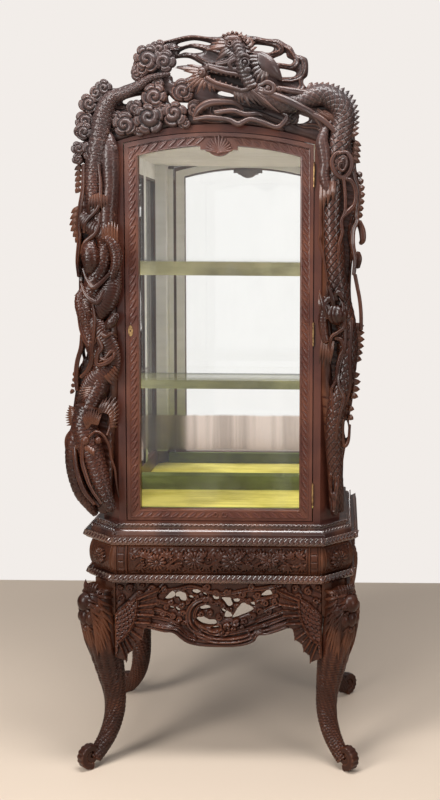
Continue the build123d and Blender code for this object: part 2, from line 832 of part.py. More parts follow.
def make_leaves(side_x, segments, bore_radius):
    """Three hinge leaves against one side of the gap, each with its own knuckles."""
    face_x = hinge_x + side_x * door_side_gap / 2
    with BuildPart() as leaves:
        for level in hinge_levels:
            bottom = level - hinge_length / 2
            with BuildSketch(Plane.XY.offset(bottom)):
                with Locations((face_x - side_x * hinge_leaf_thickness / 2, -case_front)):
                    Rectangle(hinge_leaf_thickness, hinge_leaf_width, align=(Align.CENTER, Align.MIN))
            extrude(amount=hinge_length)
            for index in segments:
                low = bottom + index * segment + knuckle_gap / 2
                with BuildSketch(Plane.XY.offset(low)):
                    with Locations((face_x - side_x * hinge_leaf_thickness / 2, hinge_y)):
                        Rectangle(hinge_leaf_thickness, knuckle_proud + 1, align=(Align.CENTER, Align.MIN))
                    with Locations((hinge_x, hinge_y)):
                        Circle(knuckle_radius)
                        Circle(bore_radius, mode=Mode.SUBTRACT)
                extrude(amount=segment - knuckle_gap)
    return leaves


save(make_leaves(1, range(0, knuckle_count, 2), pin_radius + pin_clearance), "hinge_case_leaves")
save(make_leaves(-1, range(1, knuckle_count, 2), pin_radius + pin_clearance), "hinge_door_leaves")

with BuildPart() as hinge_pins:
    for level in hinge_levels:
        with BuildSketch(Plane.XY.offset(level - hinge_length / 2 - pin_overhang)):
            with Locations((hinge_x, hinge_y)):
                Circle(pin_radius)
        extrude(amount=hinge_length + 2 * pin_overhang)
save(hinge_pins, "hinge_pins")

# ==== Carvings ==================================================================


def carved_body(stations, sides=8, level_start=False):
    """Body of a dragon, tail, jaw or ribbon: a tapering tube through (point, radius) stations."""
    points = [point for point, _ in stations]
    with BuildPart() as body:
        for index, (point, radius) in enumerate(stations):
            ahead = points[min(index + 1, len(points) - 1)]
            behind = points[max(index - 1, 0)]
            heading = ahead - behind
            if index == 0 and level_start:
                heading = Vector(0, 0, 1 if ahead.Z > point.Z else -1)
            with BuildSketch(Plane(origin=point, x_dir=(0, -1, 0), z_dir=heading)):
                RegularPolygon(radius, sides)
        loft(ruled=True)
    return body.part


def on_post(side_x, out, ahead, share):
    """Point of a post carving: beyond the case's side, before its canted corner, up its height."""
    height = bead_top + share * (ceiling_bottom - bead_top)
    return Vector(side_x * (case_half_width + out), -(cant_end + ahead), height)


def post_body(side_x, stations, **shape):
    """Carved body on a post, through stations of (out, ahead, share, radius)."""
    return carved_body([(on_post(side_x, *station[:3]), station[3]) for station in stations], **shape)


def post_ground(side_x, silhouette):
    """Ground of a post carving: a board on the canted corner and a fretted board beside it."""
    middle = Vector(side_x * (case_half_width - case_cant / 2), -(case_front - case_cant / 2), 0)
    facing = Vector(side_x, -1, 0).normalized()
    along = Vector(side_x, 1, 0).normalized() * side_x
    low, high = bead_top + ground_foot, ceiling_bottom
    inner = case_half_width - (fret_front - fret_thickness - cant_end)
    with BuildPart() as ground:
        with BuildSketch(Plane(origin=middle, x_dir=along, z_dir=facing)):
            edge = ground_half_width * side_x
            Polygon((0, low), (edge, low), (edge, high), (-edge, high), (-edge, low + (high - low) / 3), align=None)
        extrude(amount=ground_thickness)
        with BuildSketch(facing_front(fret_front)):
            with BuildLine():
                rim = [(p.X, p.Z) for p in (on_post(side_x, out, 0, share) for out, share in silhouette)]
                Spline(*rim)
                Polyline(rim[-1], (side_x * inner, rim[-1][1]), (side_x * inner, rim[0][1]), rim[0])
            make_face()
        extrude(amount=-fret_thickness)
    return ground.part


# Silhouettes of the post carvings, from the top down: how far out, share of the height.
right_silhouette = [
    (40, 1.0), (47, 0.981), (42, 0.934), (56, 0.845), (48, 0.796), (59, 0.737), (43, 0.675), (51, 0.568),
    (57, 0.477), (40, 0.398), (47, 0.342), (32, 0.260), (24, 0.212), (10, 0.117), (4, 0.019),
]
left_silhouette = [
    (42, 1.0), (51, 0.948), (46, 0.897), (56, 0.808), (51, 0.732), (51, 0.615), (47, 0.472), (56, 0.408),
    (67, 0.329), (78, 0.260), (80, 0.209), (75, 0.143), (57, 0.064), (28, 0.027),
]

# Bodies, from the top down: out, ahead, share of the height, radius.
right_dragon = [
    (-6, 62, 1.0, 27), (-9, 62, 0.978, 26), (-15, 62, 0.915, 23), (-22, 62, 0.851, 22), (-22, 62, 0.787, 22),
    (-18, 62, 0.724, 23), (-13, 60, 0.659, 24), (-2, 58, 0.594, 24), (13, 56, 0.543, 23), (24, 56, 0.479, 22),
    (17, 56, 0.400, 21), (-4, 56, 0.334, 20), (-17, 54, 0.255, 18), (-17, 46, 0.175, 15), (-6, 36, 0.096, 12),
    (2, 24, 0.027, 8),
]
right_arm = [(-50, 76, 1.0, 15), (-46, 76, 0.978, 16), (-45, 76, 0.915, 15), (-38, 78, 0.885, 13), (-28, 80, 0.855, 9)]
right_paw = [(-30, 78, 0.634, 9), (-8, 82, 0.604, 11), (10, 80, 0.562, 11), (2, 78, 0.528, 10), (-20, 74, 0.505, 7)]
right_ribbon = [(21, 62, 0.852, 6), (36, 60, 0.775, 8), (37, 60, 0.698, 8), (36, 60, 0.594, 7), (46, 58, 0.543, 8),
                (52, 56, 0.491, 7)]

left_dragon = [
    (-11, 62, 1.0, 25), (-7, 62, 0.976, 25), (1, 62, 0.926, 24), (3, 62, 0.871, 23), (-1, 62, 0.824, 23),
    (-20, 62, 0.778, 23), (-27, 62, 0.732, 24), (-16, 62, 0.681, 24), (4, 62, 0.634, 24), (18, 62, 0.583, 23),
    (20, 62, 0.517, 23), (4, 62, 0.465, 24), (-9, 62, 0.414, 24), (-5, 64, 0.363, 26), (15, 66, 0.317, 28),
]
left_head = [(22, 76, 0.312, 30), (30, 78, 0.260, 33), (18, 82, 0.209, 32), (-2, 88, 0.148, 27), (-22, 96, 0.091, 20),
             (-42, 102, 0.045, 12)]
left_coil = [(42, 72, 0.265, 20), (58, 72, 0.209, 22), (60, 70, 0.148, 20), (46, 66, 0.086, 18), (25, 58, 0.045, 13),
             (12, 48, 0.019, 8)]
left_membrane = [(25, 82, 0.667, 10), (-12, 86, 0.643, 13), (-42, 78, 0.670, 10)]
left_claw = [(18, 84, 0.505, 9), (-10, 86, 0.462, 12), (-38, 78, 0.440, 9)]

with BuildPart() as dragon_right:
    add(post_ground(1, right_silhouette))
    add(post_body(1, right_dragon, level_start=True))
    add(post_body(1, right_arm, level_start=True))
    add(post_body(1, right_paw, sides=6))
    add(post_body(1, right_ribbon, sides=6))
    with Locations(Plane(origin=on_post(1, 5, roundel_ahead, 0.943), z_dir=(0, -1, 0))):
        Cone(roundel_radius, roundel_radius * 0.8, roundel_depth, align=(Align.CENTER, Align.CENTER, Align.MIN))
save(dragon_right, "dragon_right")

with BuildPart() as dragon_left:
    add(post_ground(-1, left_silhouette))
    add(post_body(-1, left_dragon, level_start=True))
    add(post_body(-1, left_head))
    add(post_body(-1, left_coil))
    add(post_body(-1, left_membrane, sides=6))
    add(post_body(-1, left_claw, sides=6))
save(dragon_left, "dragon_left")


def over_arch(share, rise, depth=0):
    """Point of the crest: share of the case's half width across, rise above the arch springing."""
    return Vector(share * case_half_width, -(crest_front + depth), arch_spring + rise)


def crest_body(stations, **shape):
    """Carved body on the crest, through stations of (share, rise, depth, radius)."""
    return carved_body([(over_arch(*station[:3]), station[3]) for station in stations], **shape)


foot_rise = ceiling_bottom - arch_spring
crest_edge = 1.11
left_cloud_rim = [(-crest_edge, foot_rise), (-1.142, 43), (-1.10, 89), (-1.003, 129), (-0.948, 140), (-0.835, 140),
                  (-0.771, 149), (-0.684, 155), (-0.639, 167)]
cloud_cluster_rim = [(-0.639, 167), (-0.668, 180), (-0.703, 192), (-0.687, 208), (-0.629, 223), (-0.555, 222),
                     (-0.548, 235), (-0.526, 246)]
streamer_rim = [(-0.526, 246), (-0.394, 259), (-0.226, 271), (-0.052, 268), (0.084, 274), (0.30, 268), (0.384, 262),
                (0.474, 263), (0.587, 243), (0.623, 224), (0.681, 221), (0.723, 209), (0.723, 175), (0.681, 161)]
shoulder_rim = [(0.681, 161), (0.70, 146), (0.774, 144), (0.868, 146), (0.942, 142), (1.006, 133), (1.074, 117),
                (1.103, 88), (1.103, 54), (crest_edge, foot_rise)]

# Openings through the crest: share, rise, half width, half height, turn.
crest_openings = [
    (-0.213, 249, 40, 6, 4), (-0.226, 229, 31, 6, 8), (-0.306, 178, 32, 14, 20), (0.0, 185, 21, 8, 0),
    (0.355, 238, 27, 9, -8), (0.510, 209, 25, 13, 12), (0.542, 179, 22, 9, -8), (-0.710, 109, 23, 8, 14),
    (-0.323, 101, 27, 11, -16), (0.048, 125, 20, 6, -8), (0.661, 65, 20, 11, 0),
]
crest_tail = [(-0.965, foot_rise, 6, 25), (-0.95, 34, 6, 24), (-0.916, 80, 6, 22), (-0.852, 109, 8, 18),
              (-0.755, 120, 10, 14), (-0.648, 137, 10, 11), (-0.545, 159, 8, 8), (-0.39, 170, 6, 4)]
crest_dragon = [(0.981, foot_rise, 6, 27), (0.997, 34, 6, 27), (1.013, 71, 6, 28), (0.965, 101, 8, 28),
                (0.858, 120, 10, 27), (0.755, 115, 12, 25), (0.635, 98, 14, 24), (0.516, 97, 16, 24),
                (0.416, 110, 18, 26), (0.306, 128, 20, 28)]
upper_jaw = [(0.34, 165, 18, 20), (0.21, 178, 20, 29), (0.065, 168, 22, 20), (-0.065, 173, 22, 13),
             (-0.194, 180, 20, 11), (-0.339, 184, 16, 4)]
lower_jaw = [(0.30, 132, 20, 24), (0.129, 131, 22, 13), (0.0, 138, 22, 11), (-0.129, 145, 20, 9), (-0.232, 147, 16, 4)]
mane = [(0.33, 160, 14, 24), (0.22, 210, 14, 26), (0.10, 234, 12, 20), (0.03, 248, 10, 10)]
flame = [(-0.187, 78, 8, 7), (-0.02, 84, 10, 9), (0.174, 65, 10, 9), (0.377, 77, 8, 9), (0.539, 55, 6, 6)]

# Cloud scrolls in front of the crest: share, rise, radius.
cloud_scrolls = [
    (-0.561, 61, 30), (-0.361, 71, 26), (-0.758, 44, 21), (-0.513, 110, 25), (-0.271, 126, 24), (-0.574, 203, 27),
    (-0.429, 199, 21), (-0.471, 226, 15), (-1.03, 96, 16), (-1.08, 48, 15),
]
scroll_proud = 16

with BuildPart() as crest_carving:
    with BuildSketch(facing_front(door_back)):
        with BuildLine():
            for rim in (left_cloud_rim, cloud_cluster_rim, streamer_rim, shoulder_rim):
                Spline(*[(over_arch(*place).X, over_arch(*place).Z) for place in rim])
            right_foot = over_arch(crest_edge, foot_rise)
            Polyline((right_foot.X, right_foot.Z), (post_start, right_foot.Z), (post_start, head_spring))
            ThreePointArc((post_start, head_spring), (0, head_crown), (-post_start, head_spring))
            Polyline((-post_start, head_spring), (-post_start, right_foot.Z), (-right_foot.X, right_foot.Z))
        make_face()
        for share, rise, half_width, half_height, turn in crest_openings:
            place = over_arch(share, rise)
            with Locations(Location((place.X, place.Z), turn)):
                Ellipse(half_width, half_height, mode=Mode.SUBTRACT)
    extrude(amount=crest_front - door_back)
    for share, rise, radius in cloud_scrolls:
        with Locations(Plane(origin=over_arch(share, rise, -5), z_dir=(0, -1, 0))):
            Cone(radius, radius * 0.7, scroll_proud + 5, align=(Align.CENTER, Align.CENTER, Align.MIN))
    add(crest_body(crest_tail, level_start=True))
    add(crest_body(crest_dragon, level_start=True))
    for body in (upper_jaw, lower_jaw, mane, flame):
        add(crest_body(body, sides=6))
save(crest_carving, "crest_carving")
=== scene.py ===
import json
import math

import bpy
import numpy as np
from mathutils import Matrix, Vector

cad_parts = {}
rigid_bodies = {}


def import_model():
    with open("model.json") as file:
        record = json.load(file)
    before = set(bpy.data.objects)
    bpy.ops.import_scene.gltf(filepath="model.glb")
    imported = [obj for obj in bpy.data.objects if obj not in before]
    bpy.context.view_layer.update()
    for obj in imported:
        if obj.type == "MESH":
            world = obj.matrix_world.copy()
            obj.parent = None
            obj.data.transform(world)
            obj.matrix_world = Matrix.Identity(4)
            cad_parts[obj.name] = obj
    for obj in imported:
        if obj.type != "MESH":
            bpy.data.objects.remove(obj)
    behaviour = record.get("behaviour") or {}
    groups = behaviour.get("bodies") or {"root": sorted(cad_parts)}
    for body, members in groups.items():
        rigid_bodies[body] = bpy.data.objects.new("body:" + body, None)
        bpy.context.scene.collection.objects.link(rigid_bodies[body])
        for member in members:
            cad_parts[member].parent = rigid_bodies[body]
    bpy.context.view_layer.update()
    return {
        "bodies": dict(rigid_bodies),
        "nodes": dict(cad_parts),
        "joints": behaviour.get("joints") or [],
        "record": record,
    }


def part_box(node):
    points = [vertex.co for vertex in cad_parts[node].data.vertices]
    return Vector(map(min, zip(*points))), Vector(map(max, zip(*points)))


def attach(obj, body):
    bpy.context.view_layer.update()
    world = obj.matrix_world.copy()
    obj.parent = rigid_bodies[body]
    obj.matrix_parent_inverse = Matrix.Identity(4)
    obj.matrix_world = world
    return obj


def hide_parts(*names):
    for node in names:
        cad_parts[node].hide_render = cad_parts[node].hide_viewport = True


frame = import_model()

# Carved display cabinet: the looks of its wood, glass, lining and brass, and the
# carving of its dragons, crest, frieze, door and stand. Sizes in the piece tables
# are millimetres; every mesh ends up in metres, +Z up, front towards -Y.
MM = 0.001


def in_mm(box):
    return [Vector(corner) / MM for corner in box]


def placed(name, data):
    """Object of some data, linked into the scene."""
    made = bpy.data.objects.new(name, data)
    bpy.context.scene.collection.objects.link(made)
    return made


# ---- Finishes ----


class Tone:
    """A shader socket that Python arithmetic works on."""

    def __init__(self, finish, socket):
        self.finish = finish
        self.socket = socket

    def maths(self, operation, *others, clamp=False):
        settings = {"operation": operation, "use_clamp": clamp}
        values = dict(enumerate((self, *others)))
        return self.finish.node("ShaderNodeMath", settings, values)

    def __add__(self, other):
        return self.maths("ADD", other)

    def __rsub__(self, other):
        return (self * -1) + other

    def __mul__(self, other):
        return self.maths("MULTIPLY", other)

    def __pow__(self, power):
        return self.maths("POWER", power)

    __radd__ = __add__
    __rmul__ = __mul__

    def clipped(self):
        return self.maths("ADD", 0.0, clamp=True)

    def between(self, low, high):
        """0 below low, 1 above high and smooth between them."""
        return self.finish.node(
            "ShaderNodeMapRange",
            {"interpolation_type": "SMOOTHSTEP"},
            {"Value": self, "From Min": low, "From Max": high},
        )


class Finish:
    """One material, built node by node."""

    def __init__(self, name):
        self.material = bpy.data.materials.new(name)
        self.material.use_nodes = True
        self.tree = self.material.node_tree
        self.tree.nodes.clear()
        self.place = self.node("ShaderNodeTexCoord", output="Object")

    def node(self, kind, settings=None, values=None, output=0):
        """Adds a node with its settings, then its socket values or links."""
        made = self.tree.nodes.new(kind)
        for key, value in (settings or {}).items():
            setattr(made, key, value)
        for key, value in (values or {}).items():
            if isinstance(value, Tone):
                self.tree.links.new(value.socket, made.inputs[key])
            elif value is not None:
                made.inputs[key].default_value = value
        return Tone(self, made.outputs[output])

    def noise(self, scale, detail, stretch=(1, 1, 1), roughness=0.5, distortion=0.0):
        """Noise of scale cells to the metre, stretched along the object's axes."""
        spot = self.node("ShaderNodeMapping", {}, {"Vector": self.place, "Scale": stretch})
        values = {"Vector": spot, "Scale": scale, "Detail": detail, "Roughness": roughness,
                  "Distortion": distortion}
        return self.node("ShaderNodeTexNoise", {}, values)

    def height(self):
        return self.node("ShaderNodeSeparateXYZ", {}, {"Vector": self.place}, "Z")

    def blend(self, share, one, other):
        """Colour one turning into the other as share goes from 0 to 1."""
        one, other = (c if isinstance(c, Tone) else (*c, 1) for c in (one, other))
        return self.node("ShaderNodeMix", {"data_type": "RGBA"}, {0: share, 6: one, 7: other}, 2)

    def bump(self, height, depth, strength):
        return self.node("ShaderNodeBump", {}, {"Height": height, "Distance": depth, "Strength": strength})

    def close(self, shader):
        output = self.tree.nodes.new("ShaderNodeOutputMaterial")
        self.tree.links.new(shader.socket, output.inputs["Surface"])
        return self.material

    def surface(self, **sockets):
        """Principled surface; underscores in the names stand for spaces."""
        values = {key.replace("_", " "): value for key, value in sockets.items()}
        return self.close(self.node("ShaderNodeBsdfPrincipled", {}, values))


def lacquered_wood(name, dark, warm, gloss, grain_axis, carved, shine, coat, top_sheen=False):
    """Stained and lacquered wood, darker in patches, worn warmer on its raised edges; painted shade darkens
    its recesses, and a painted grey sheen can lighten it higher up.
    """
    # Worn edge colour, then the grey of a painted sheen for the higher parts.
    wear_and_reflection, dust_and_sheen = (0.20, 0.075, 0.035), (0.115, 0.120, 0.128)
    f = Finish(name)
    stretch = [38.0, 38.0, 38.0]
    stretch[grain_axis] = 3.0
    grain = f.noise(1.0, 5.0, stretch, 0.62, 0.6)
    patch = f.noise(9.0, 3.0)
    fine = f.noise(260.0, 2.0)
    edge = f.node("ShaderNodeNewGeometry", output="Pointiness")
    raised = edge.between(0.505, 0.56)
    shaded_recess = 1 - edge.between(0.43, 0.497)
    tone = (patch.between(0.30, 0.72) * 0.65 + grain.between(0.35, 0.70) * 0.35).clipped()
    colour = f.blend(tone, dark, warm)
    colour = f.blend(raised * patch.between(0.35, 0.62) * 0.35 * carved, colour, wear_and_reflection)
    # Painted shade: the recesses are darkened towards a fifth of the dark tone.
    colour = f.blend(shaded_recess * 0.85 * carved, colour, [0.18 * c for c in dark])
    # Painted sheen: grey is mixed in between 1.36 and 1.72 m up, where the light from above falls.
    if top_sheen:
        colour = f.blend(f.height().between(1.36, 1.72) * 0.18, colour, dust_and_sheen)
    relief = grain * 0.5 + fine * 0.25
    return f.surface(
        Base_Color=colour,
        Roughness=(patch * 0.16 + fine * 0.10 + (gloss - 0.13) + shaded_recess * 0.22 * carved).clipped(),
        Normal=f.bump(relief, 0.0006, 0.5),
        Specular_IOR_Level=shine,
        Coat_Weight=coat,
        Coat_Roughness=0.14,
    )


def clear_glass():
    """Old plate glass: clear, with a faint green edge and a thin haze of dust."""
    f = Finish("clear_glass")
    slant = f.node("ShaderNodeLayerWeight", {}, {"Blend": 0.5}, "Facing")
    haze = f.noise(14.0, 3.0, (1, 1, 0.4)).between(0.45, 0.8) * 0.02
    sheen = slant ** 5 * 0.55 + 0.03
    through = f.node("ShaderNodeBsdfTransparent", {}, {"Color": (0.991, 0.992, 0.989, 1)})
    gloss = f.node("ShaderNodeBsdfGlossy", {}, {"Color": (1, 1, 1, 1), "Roughness": 0.03})
    dust_and_sheen = f.node("ShaderNodeBsdfDiffuse", {}, {"Color": (0.82, 0.84, 0.80, 1)})
    clean = f.node("ShaderNodeMixShader", {}, {0: sheen.clipped(), 1: through, 2: gloss})
    return f.close(f.node("ShaderNodeMixShader", {}, {0: haze, 1: clean, 2: dust_and_sheen}))


def silvered_mirror(foot):
    """Old mirror plate, clear above, with a painted brown reflection of the floor in a band near its foot."""
    f = Finish("silvered_mirror")
    streak = f.noise(1.0, 3.0, (26, 1, 0.7), 0.55, 0.2)
    edge = f.height() + streak * 0.006
    # Painted reflection: a band of the floor's brown near the foot, blurred by extra roughness.
    wear_and_reflection = (1 - edge.between(foot + 0.176, foot + 0.184)) * edge.between(foot + 0.072, foot + 0.080)
    floor_reflection_brown = f.blend(streak.between(0.35, 0.65), (0.52, 0.42, 0.36), (0.80, 0.66, 0.58))
    return f.surface(
        Base_Color=f.blend(wear_and_reflection, (0.975, 0.972, 0.965), floor_reflection_brown),
        Metallic=1.0,
        Roughness=(wear_and_reflection * 0.10 + 0.012).clipped(),
    )


def velvet(name, deep, light, painted_foot_shade=None):
    """Short worn velvet pile, rubbed lighter in streaks; the optional (low, high, colour) paints shade of
    that colour at the foot, below low, fading out by high.
    """
    f = Finish(name)
    rub = f.noise(1.0, 4.0, (4, 34, 34), 0.6, 0.5)
    spot = f.noise(13.0, 4.0)
    pile = f.noise(900.0, 2.0)
    tone = (rub.between(0.30, 0.68) * 0.55 + spot.between(0.30, 0.62) * 0.45).clipped()
    colour = f.blend(tone, deep, light)
    # Painted shade: the pile dims to the given colour towards the foot.
    if painted_foot_shade:
        low, high, dim = painted_foot_shade
        foot = f.blend(tone, [0.35 * c for c in dim], dim)
        colour = f.blend(f.height().between(low, high), foot, colour)
    return f.surface(
        Base_Color=colour,
        Roughness=(pile * 0.1 + 0.86).clipped(),
        Normal=f.bump(pile, 0.0008, 0.6),
        Specular_IOR_Level=0.15,
    )


def aged_metal(name, bright, tarnish, roughness):
    """Brass or steel with tarnish in patches."""
    f = Finish(name)
    patch = f.noise(90.0, 4.0)
    scratch = f.noise(1.0, 3.0, (900, 900, 60))
    return f.surface(
        Base_Color=f.blend(patch.between(0.42, 0.66), bright, tarnish),
        Metallic=0.95,
        Roughness=(scratch * 0.16 + roughness).clipped(),
        Normal=f.bump(scratch, 0.0001, 0.4),
    )


slot_finish = {wood[0]: lacquered_wood(*wood) for wood in (
    # name, dark, warm, gloss, grain axis, carved, shine, coat, top sheen (painted grey sheen higher up)
    ("leg_wood", (0.020, 0.0052, 0.0024), (0.050, 0.0120, 0.0050), 0.40, 2, 1.0, 0.18, 0.12),
    ("apron_wood", (0.028, 0.008, 0.004), (0.066, 0.018, 0.009), 0.40, 0, 1.0, 0.22, 0.18),
    ("moulding_wood", (0.026, 0.0100, 0.0080), (0.060, 0.0235, 0.0180), 0.20, 0, 1.0, 0.50, 0.75),
    ("frieze_wood", (0.026, 0.007, 0.003), (0.064, 0.018, 0.008), 0.40, 0, 1.0, 0.20, 0.14),
    ("carving_wood", (0.017, 0.0046, 0.0026), (0.050, 0.0135, 0.0078), 0.34, 2, 1.0, 0.26, 0.20, True),
    ("door_wood", (0.064, 0.0185, 0.0125), (0.090, 0.027, 0.0185), 0.38, 2, 0.8, 0.30, 0.20, True),
    ("case_wood", (0.046, 0.0125, 0.0085), (0.074, 0.0205, 0.014), 0.32, 2, 0.4, 0.30, 0.22),
)}
# Pale lining; its dim greenish foot is painted shade with a painted green reflection of the velvet floor.
lining = velvet("lining_cloth", (0.84, 0.84, 0.81), (0.97, 0.97, 0.96), (0.66, 1.05, (0.36, 0.38, 0.18)))
slot_finish |= {
    "clear_glass": clear_glass(),
    "mirror": silvered_mirror(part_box("mirror_plates")[0].z),
    "velvet": velvet("floor_pile", (0.46, 0.39, 0.05), (0.82, 0.72, 0.17)),
    # The bar cloth is dimmed towards the foot by painted shade.
    "bar_cloth": velvet("bar_pile", (0.22, 0.21, 0.10), (0.50, 0.47, 0.26), (0.69, 1.20, (0.16, 0.19, 0.05))),
    "brass": aged_metal("aged_brass", (0.42, 0.27, 0.12), (0.15, 0.08, 0.04), 0.30),
    "lock_steel": aged_metal("lock_steel", (0.42, 0.40, 0.38), (0.20, 0.17, 0.15), 0.38),
}
for entry in frame["record"]["subparts"]:
    node = frame["nodes"][entry["node"]]
    node.data.materials.clear()
    node.data.materials.append(slot_finish[entry["material_slot"]])


# ---- Floor, light and camera ----

camera_place = Vector((0.31508, -2.95624, 1.35245))
camera_turn, camera_dip, camera_roll = -0.0004, 0.0841, 0.0077
ahead = Vector((-math.sin(camera_turn) * math.cos(camera_dip), math.cos(camera_turn) * math.cos(camera_dip),
                -math.sin(camera_dip)))
level = Vector((math.cos(camera_turn), math.sin(camera_turn), 0))
upward = level.cross(ahead)
right = math.cos(camera_roll) * level + math.sin(camera_roll) * upward
top = -math.sin(camera_roll) * level + math.cos(camera_roll) * upward
lens = bpy.data.cameras.new("view")
lens.lens = 48.57
lens.shift_x = -0.1538
lens.shift_y = -0.0740
camera = placed("view", lens)
camera.matrix_world = Matrix.Translation(camera_place) @ Matrix((right, top, -ahead)).transposed().to_4x4()
bpy.context.scene.camera = camera
bpy.context.scene.view_settings.view_transform = "Standard"

world = bpy.data.worlds.new("studio")
bpy.context.scene.world = world
world.use_nodes = True
world.node_tree.nodes.clear()
room = Finish.__new__(Finish)
room.tree = world.node_tree
ray = "ShaderNodeLightPath"
towards = room.node("ShaderNodeTexCoord", output="Generated")
height = room.node("ShaderNodeSeparateXYZ", {}, {"Vector": towards}, "Z")
ahead_of_door = room.node("ShaderNodeVectorMath", {"operation": "DOT_PRODUCT"},
                          {0: towards, 1: (-0.10, -0.995, 0.0)}, "Value")
screen = ahead_of_door.between(0.955, 0.972) * 0.92
overhead = height.between(0.15, 0.75) * 0.52
gloss = room.node("ShaderNodeBackground", {},
                  {"Color": (1.0, 0.995, 0.985, 1), "Strength": screen + overhead + 0.065})
plain = room.node("ShaderNodeBackground", {}, {"Color": (0.96, 0.97, 1.0, 1), "Strength": 0.24})
wall = room.node("ShaderNodeBackground", {}, {"Color": (0.888, 0.847, 0.815, 1), "Strength": 1.0})
seen = (room.node(ray, output="Is Camera Ray") + room.node(ray, output="Is Transmission Ray")).clipped()
unlit = room.node("ShaderNodeMixShader", {}, {0: room.node(ray, output="Is Glossy Ray"), 1: plain, 2: gloss})
sky = room.node("ShaderNodeMixShader", {}, {0: seen, 1: unlit, 2: wall})
room_output = world.node_tree.nodes.new("ShaderNodeOutputWorld")
world.node_tree.links.new(sky.socket, room_output.inputs["Surface"])


def soft_lamp(name, place, aim, size, power, colour=(1, 1, 1)):
    """Large soft lamp that faces a point."""
    data = bpy.data.lights.new(name, "AREA")
    data.shape = "RECTANGLE"
    data.size, data.size_y = size
    data.energy = power
    data.color = colour
    lamp = placed(name, data)
    lamp.location = place
    lamp.rotation_euler = (Vector(aim) - Vector(place)).to_track_quat("-Z", "Y").to_euler()


soft_lamp("key_window", (-2.1, -2.6, 2.3), (0, 0, 1.2), (1.2, 2.2), 112, (1.0, 0.985, 0.96))
soft_lamp("fill_window", (2.6, -2.6, 1.5), (0, 0, 0.9), (1.2, 1.8), 34, (1.0, 0.97, 0.94))
soft_lamp("overhead", (0.1, -0.8, 2.9), (0, 0, 1.2), (1.9, 0.6), 62)

floor_mesh = bpy.data.meshes.new("studio_floor")
floor_mesh.from_pydata([(-4, -4, 0), (4, -4, 0), (4, 1.35, 0), (-4, 1.35, 0)], [], [(0, 1, 2, 3)])
floor = placed("studio_floor", floor_mesh)
boards = Finish("studio_floor")
floor_mesh.materials.append(boards.surface(Base_Color=(0.68, 0.56, 0.45, 1), Roughness=0.55))


# ---- Meshes ----


class Carving:
    """Collects closed shapes, in millimetres, and turns them into one piece."""

    def __init__(self):
        self.points = []
        self.faces = []
        self.count = 0

    def add(self, points, *face_groups):
        points = np.asarray(points, float).reshape(-1, 3)
        for faces in face_groups:
            self.faces.append(np.asarray(faces, int) + self.count)
        self.points.append(points)
        self.count += len(points)

    def mirrored(self, across_x, across_y):
        """A copy of everything collected, on the other side of the cabinet."""
        copy = Carving()
        sign = np.array([-1.0 if across_x else 1.0, -1.0 if across_y else 1.0, 1.0])
        copy.points = [points * sign for points in self.points]
        flip = across_x != across_y
        copy.faces = [faces[:, ::-1] if flip else faces for faces in self.faces]
        copy.count = self.count
        return copy

    def piece(self, name, body, slot, replaces=(), riding=True):
        """One smooth-shaded mesh object, which rides on a body unless it is a loose unit."""
        points = np.concatenate(self.points) * MM
        sizes = np.concatenate([np.full(len(f), f.shape[1]) for f in self.faces])
        corners = np.concatenate([f.ravel() for f in self.faces])
        mesh = bpy.data.meshes.new(name)
        mesh.vertices.add(len(points))
        mesh.vertices.foreach_set("co", points.ravel())
        mesh.loops.add(len(corners))
        mesh.loops.foreach_set("vertex_index", corners)
        mesh.polygons.add(len(sizes))
        mesh.polygons.foreach_set("loop_start", np.concatenate([[0], np.cumsum(sizes)[:-1]]))
        mesh.update(calc_edges=True)
        mesh.validate()
        mesh.polygons.foreach_set("use_smooth", np.ones(len(mesh.polygons), bool))
        mesh.set_sharp_from_angle(angle=math.radians(35))
        made = placed(name, mesh)
        mesh.materials.append(slot_finish[slot])
        if riding:
            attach(made, body)
        if replaces:
            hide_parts(*replaces)
        return made


def smooth_path(points, spacing, closed=False):
    """Even points along a smooth curve through the given rows of numbers."""
    points = np.asarray(points, float)
    if closed:
        points = np.vstack([points[-1], points, points[0], points[1]])
    else:
        points = np.vstack([2 * points[0] - points[1], points, 2 * points[-1] - points[-2]])
    runs = []
    t = np.linspace(0, 1, 17)[:-1, None]
    for a, b, c, d in zip(points, points[1:], points[2:], points[3:]):
        bend, twist = 2 * a - 5 * b + 4 * c - d, 3 * b - a - 3 * c + d
        runs.append(0.5 * (2 * b + (c - a) * t + bend * t**2 + twist * t**3))
    curve = np.vstack(runs + [points[-2][None]])
    place = np.concatenate([[0], np.cumsum(np.linalg.norm(np.diff(curve[:, :3], axis=0), axis=1))])
    count = max(int(round(place[-1] / spacing)), 2) + 1
    even = np.linspace(0, place[-1], count)
    curve = np.column_stack([np.interp(even, place, column) for column in curve.T])
    return (curve[:-1] if closed else curve), even


def unit(vectors):
    return vectors / np.maximum(np.linalg.norm(vectors, axis=-1, keepdims=True), 1e-9)


def sleeve(count, around):
    """Quads and end caps of a closed skin of rings, whose two poles come after the rings."""
    i, j = np.meshgrid(np.arange(count - 1), np.arange(around), indexing="ij")
    k = (j + 1) % around
    quads = np.stack([i * around + j, i * around + k, (i + 1) * around + k, (i + 1) * around + j], -1)
    ring = np.arange(around)
    step = (ring + 1) % around
    pole = np.full(around, count * around)
    last = (count - 1) * around
    caps = [np.column_stack([pole, step, ring]), np.column_stack([pole + 1, last + ring, last + step])]
    return quads.reshape(-1, 4), np.vstack(caps)


def bell(x, width):
    """1 at 0, falling away smoothly on both sides."""
    return np.exp(-((x / width) ** 2))


def round_top(x):
    """Half circle: 1 at 0, and 0 from 1 outwards."""
    return np.sqrt(np.maximum(1 - x**2, 0))


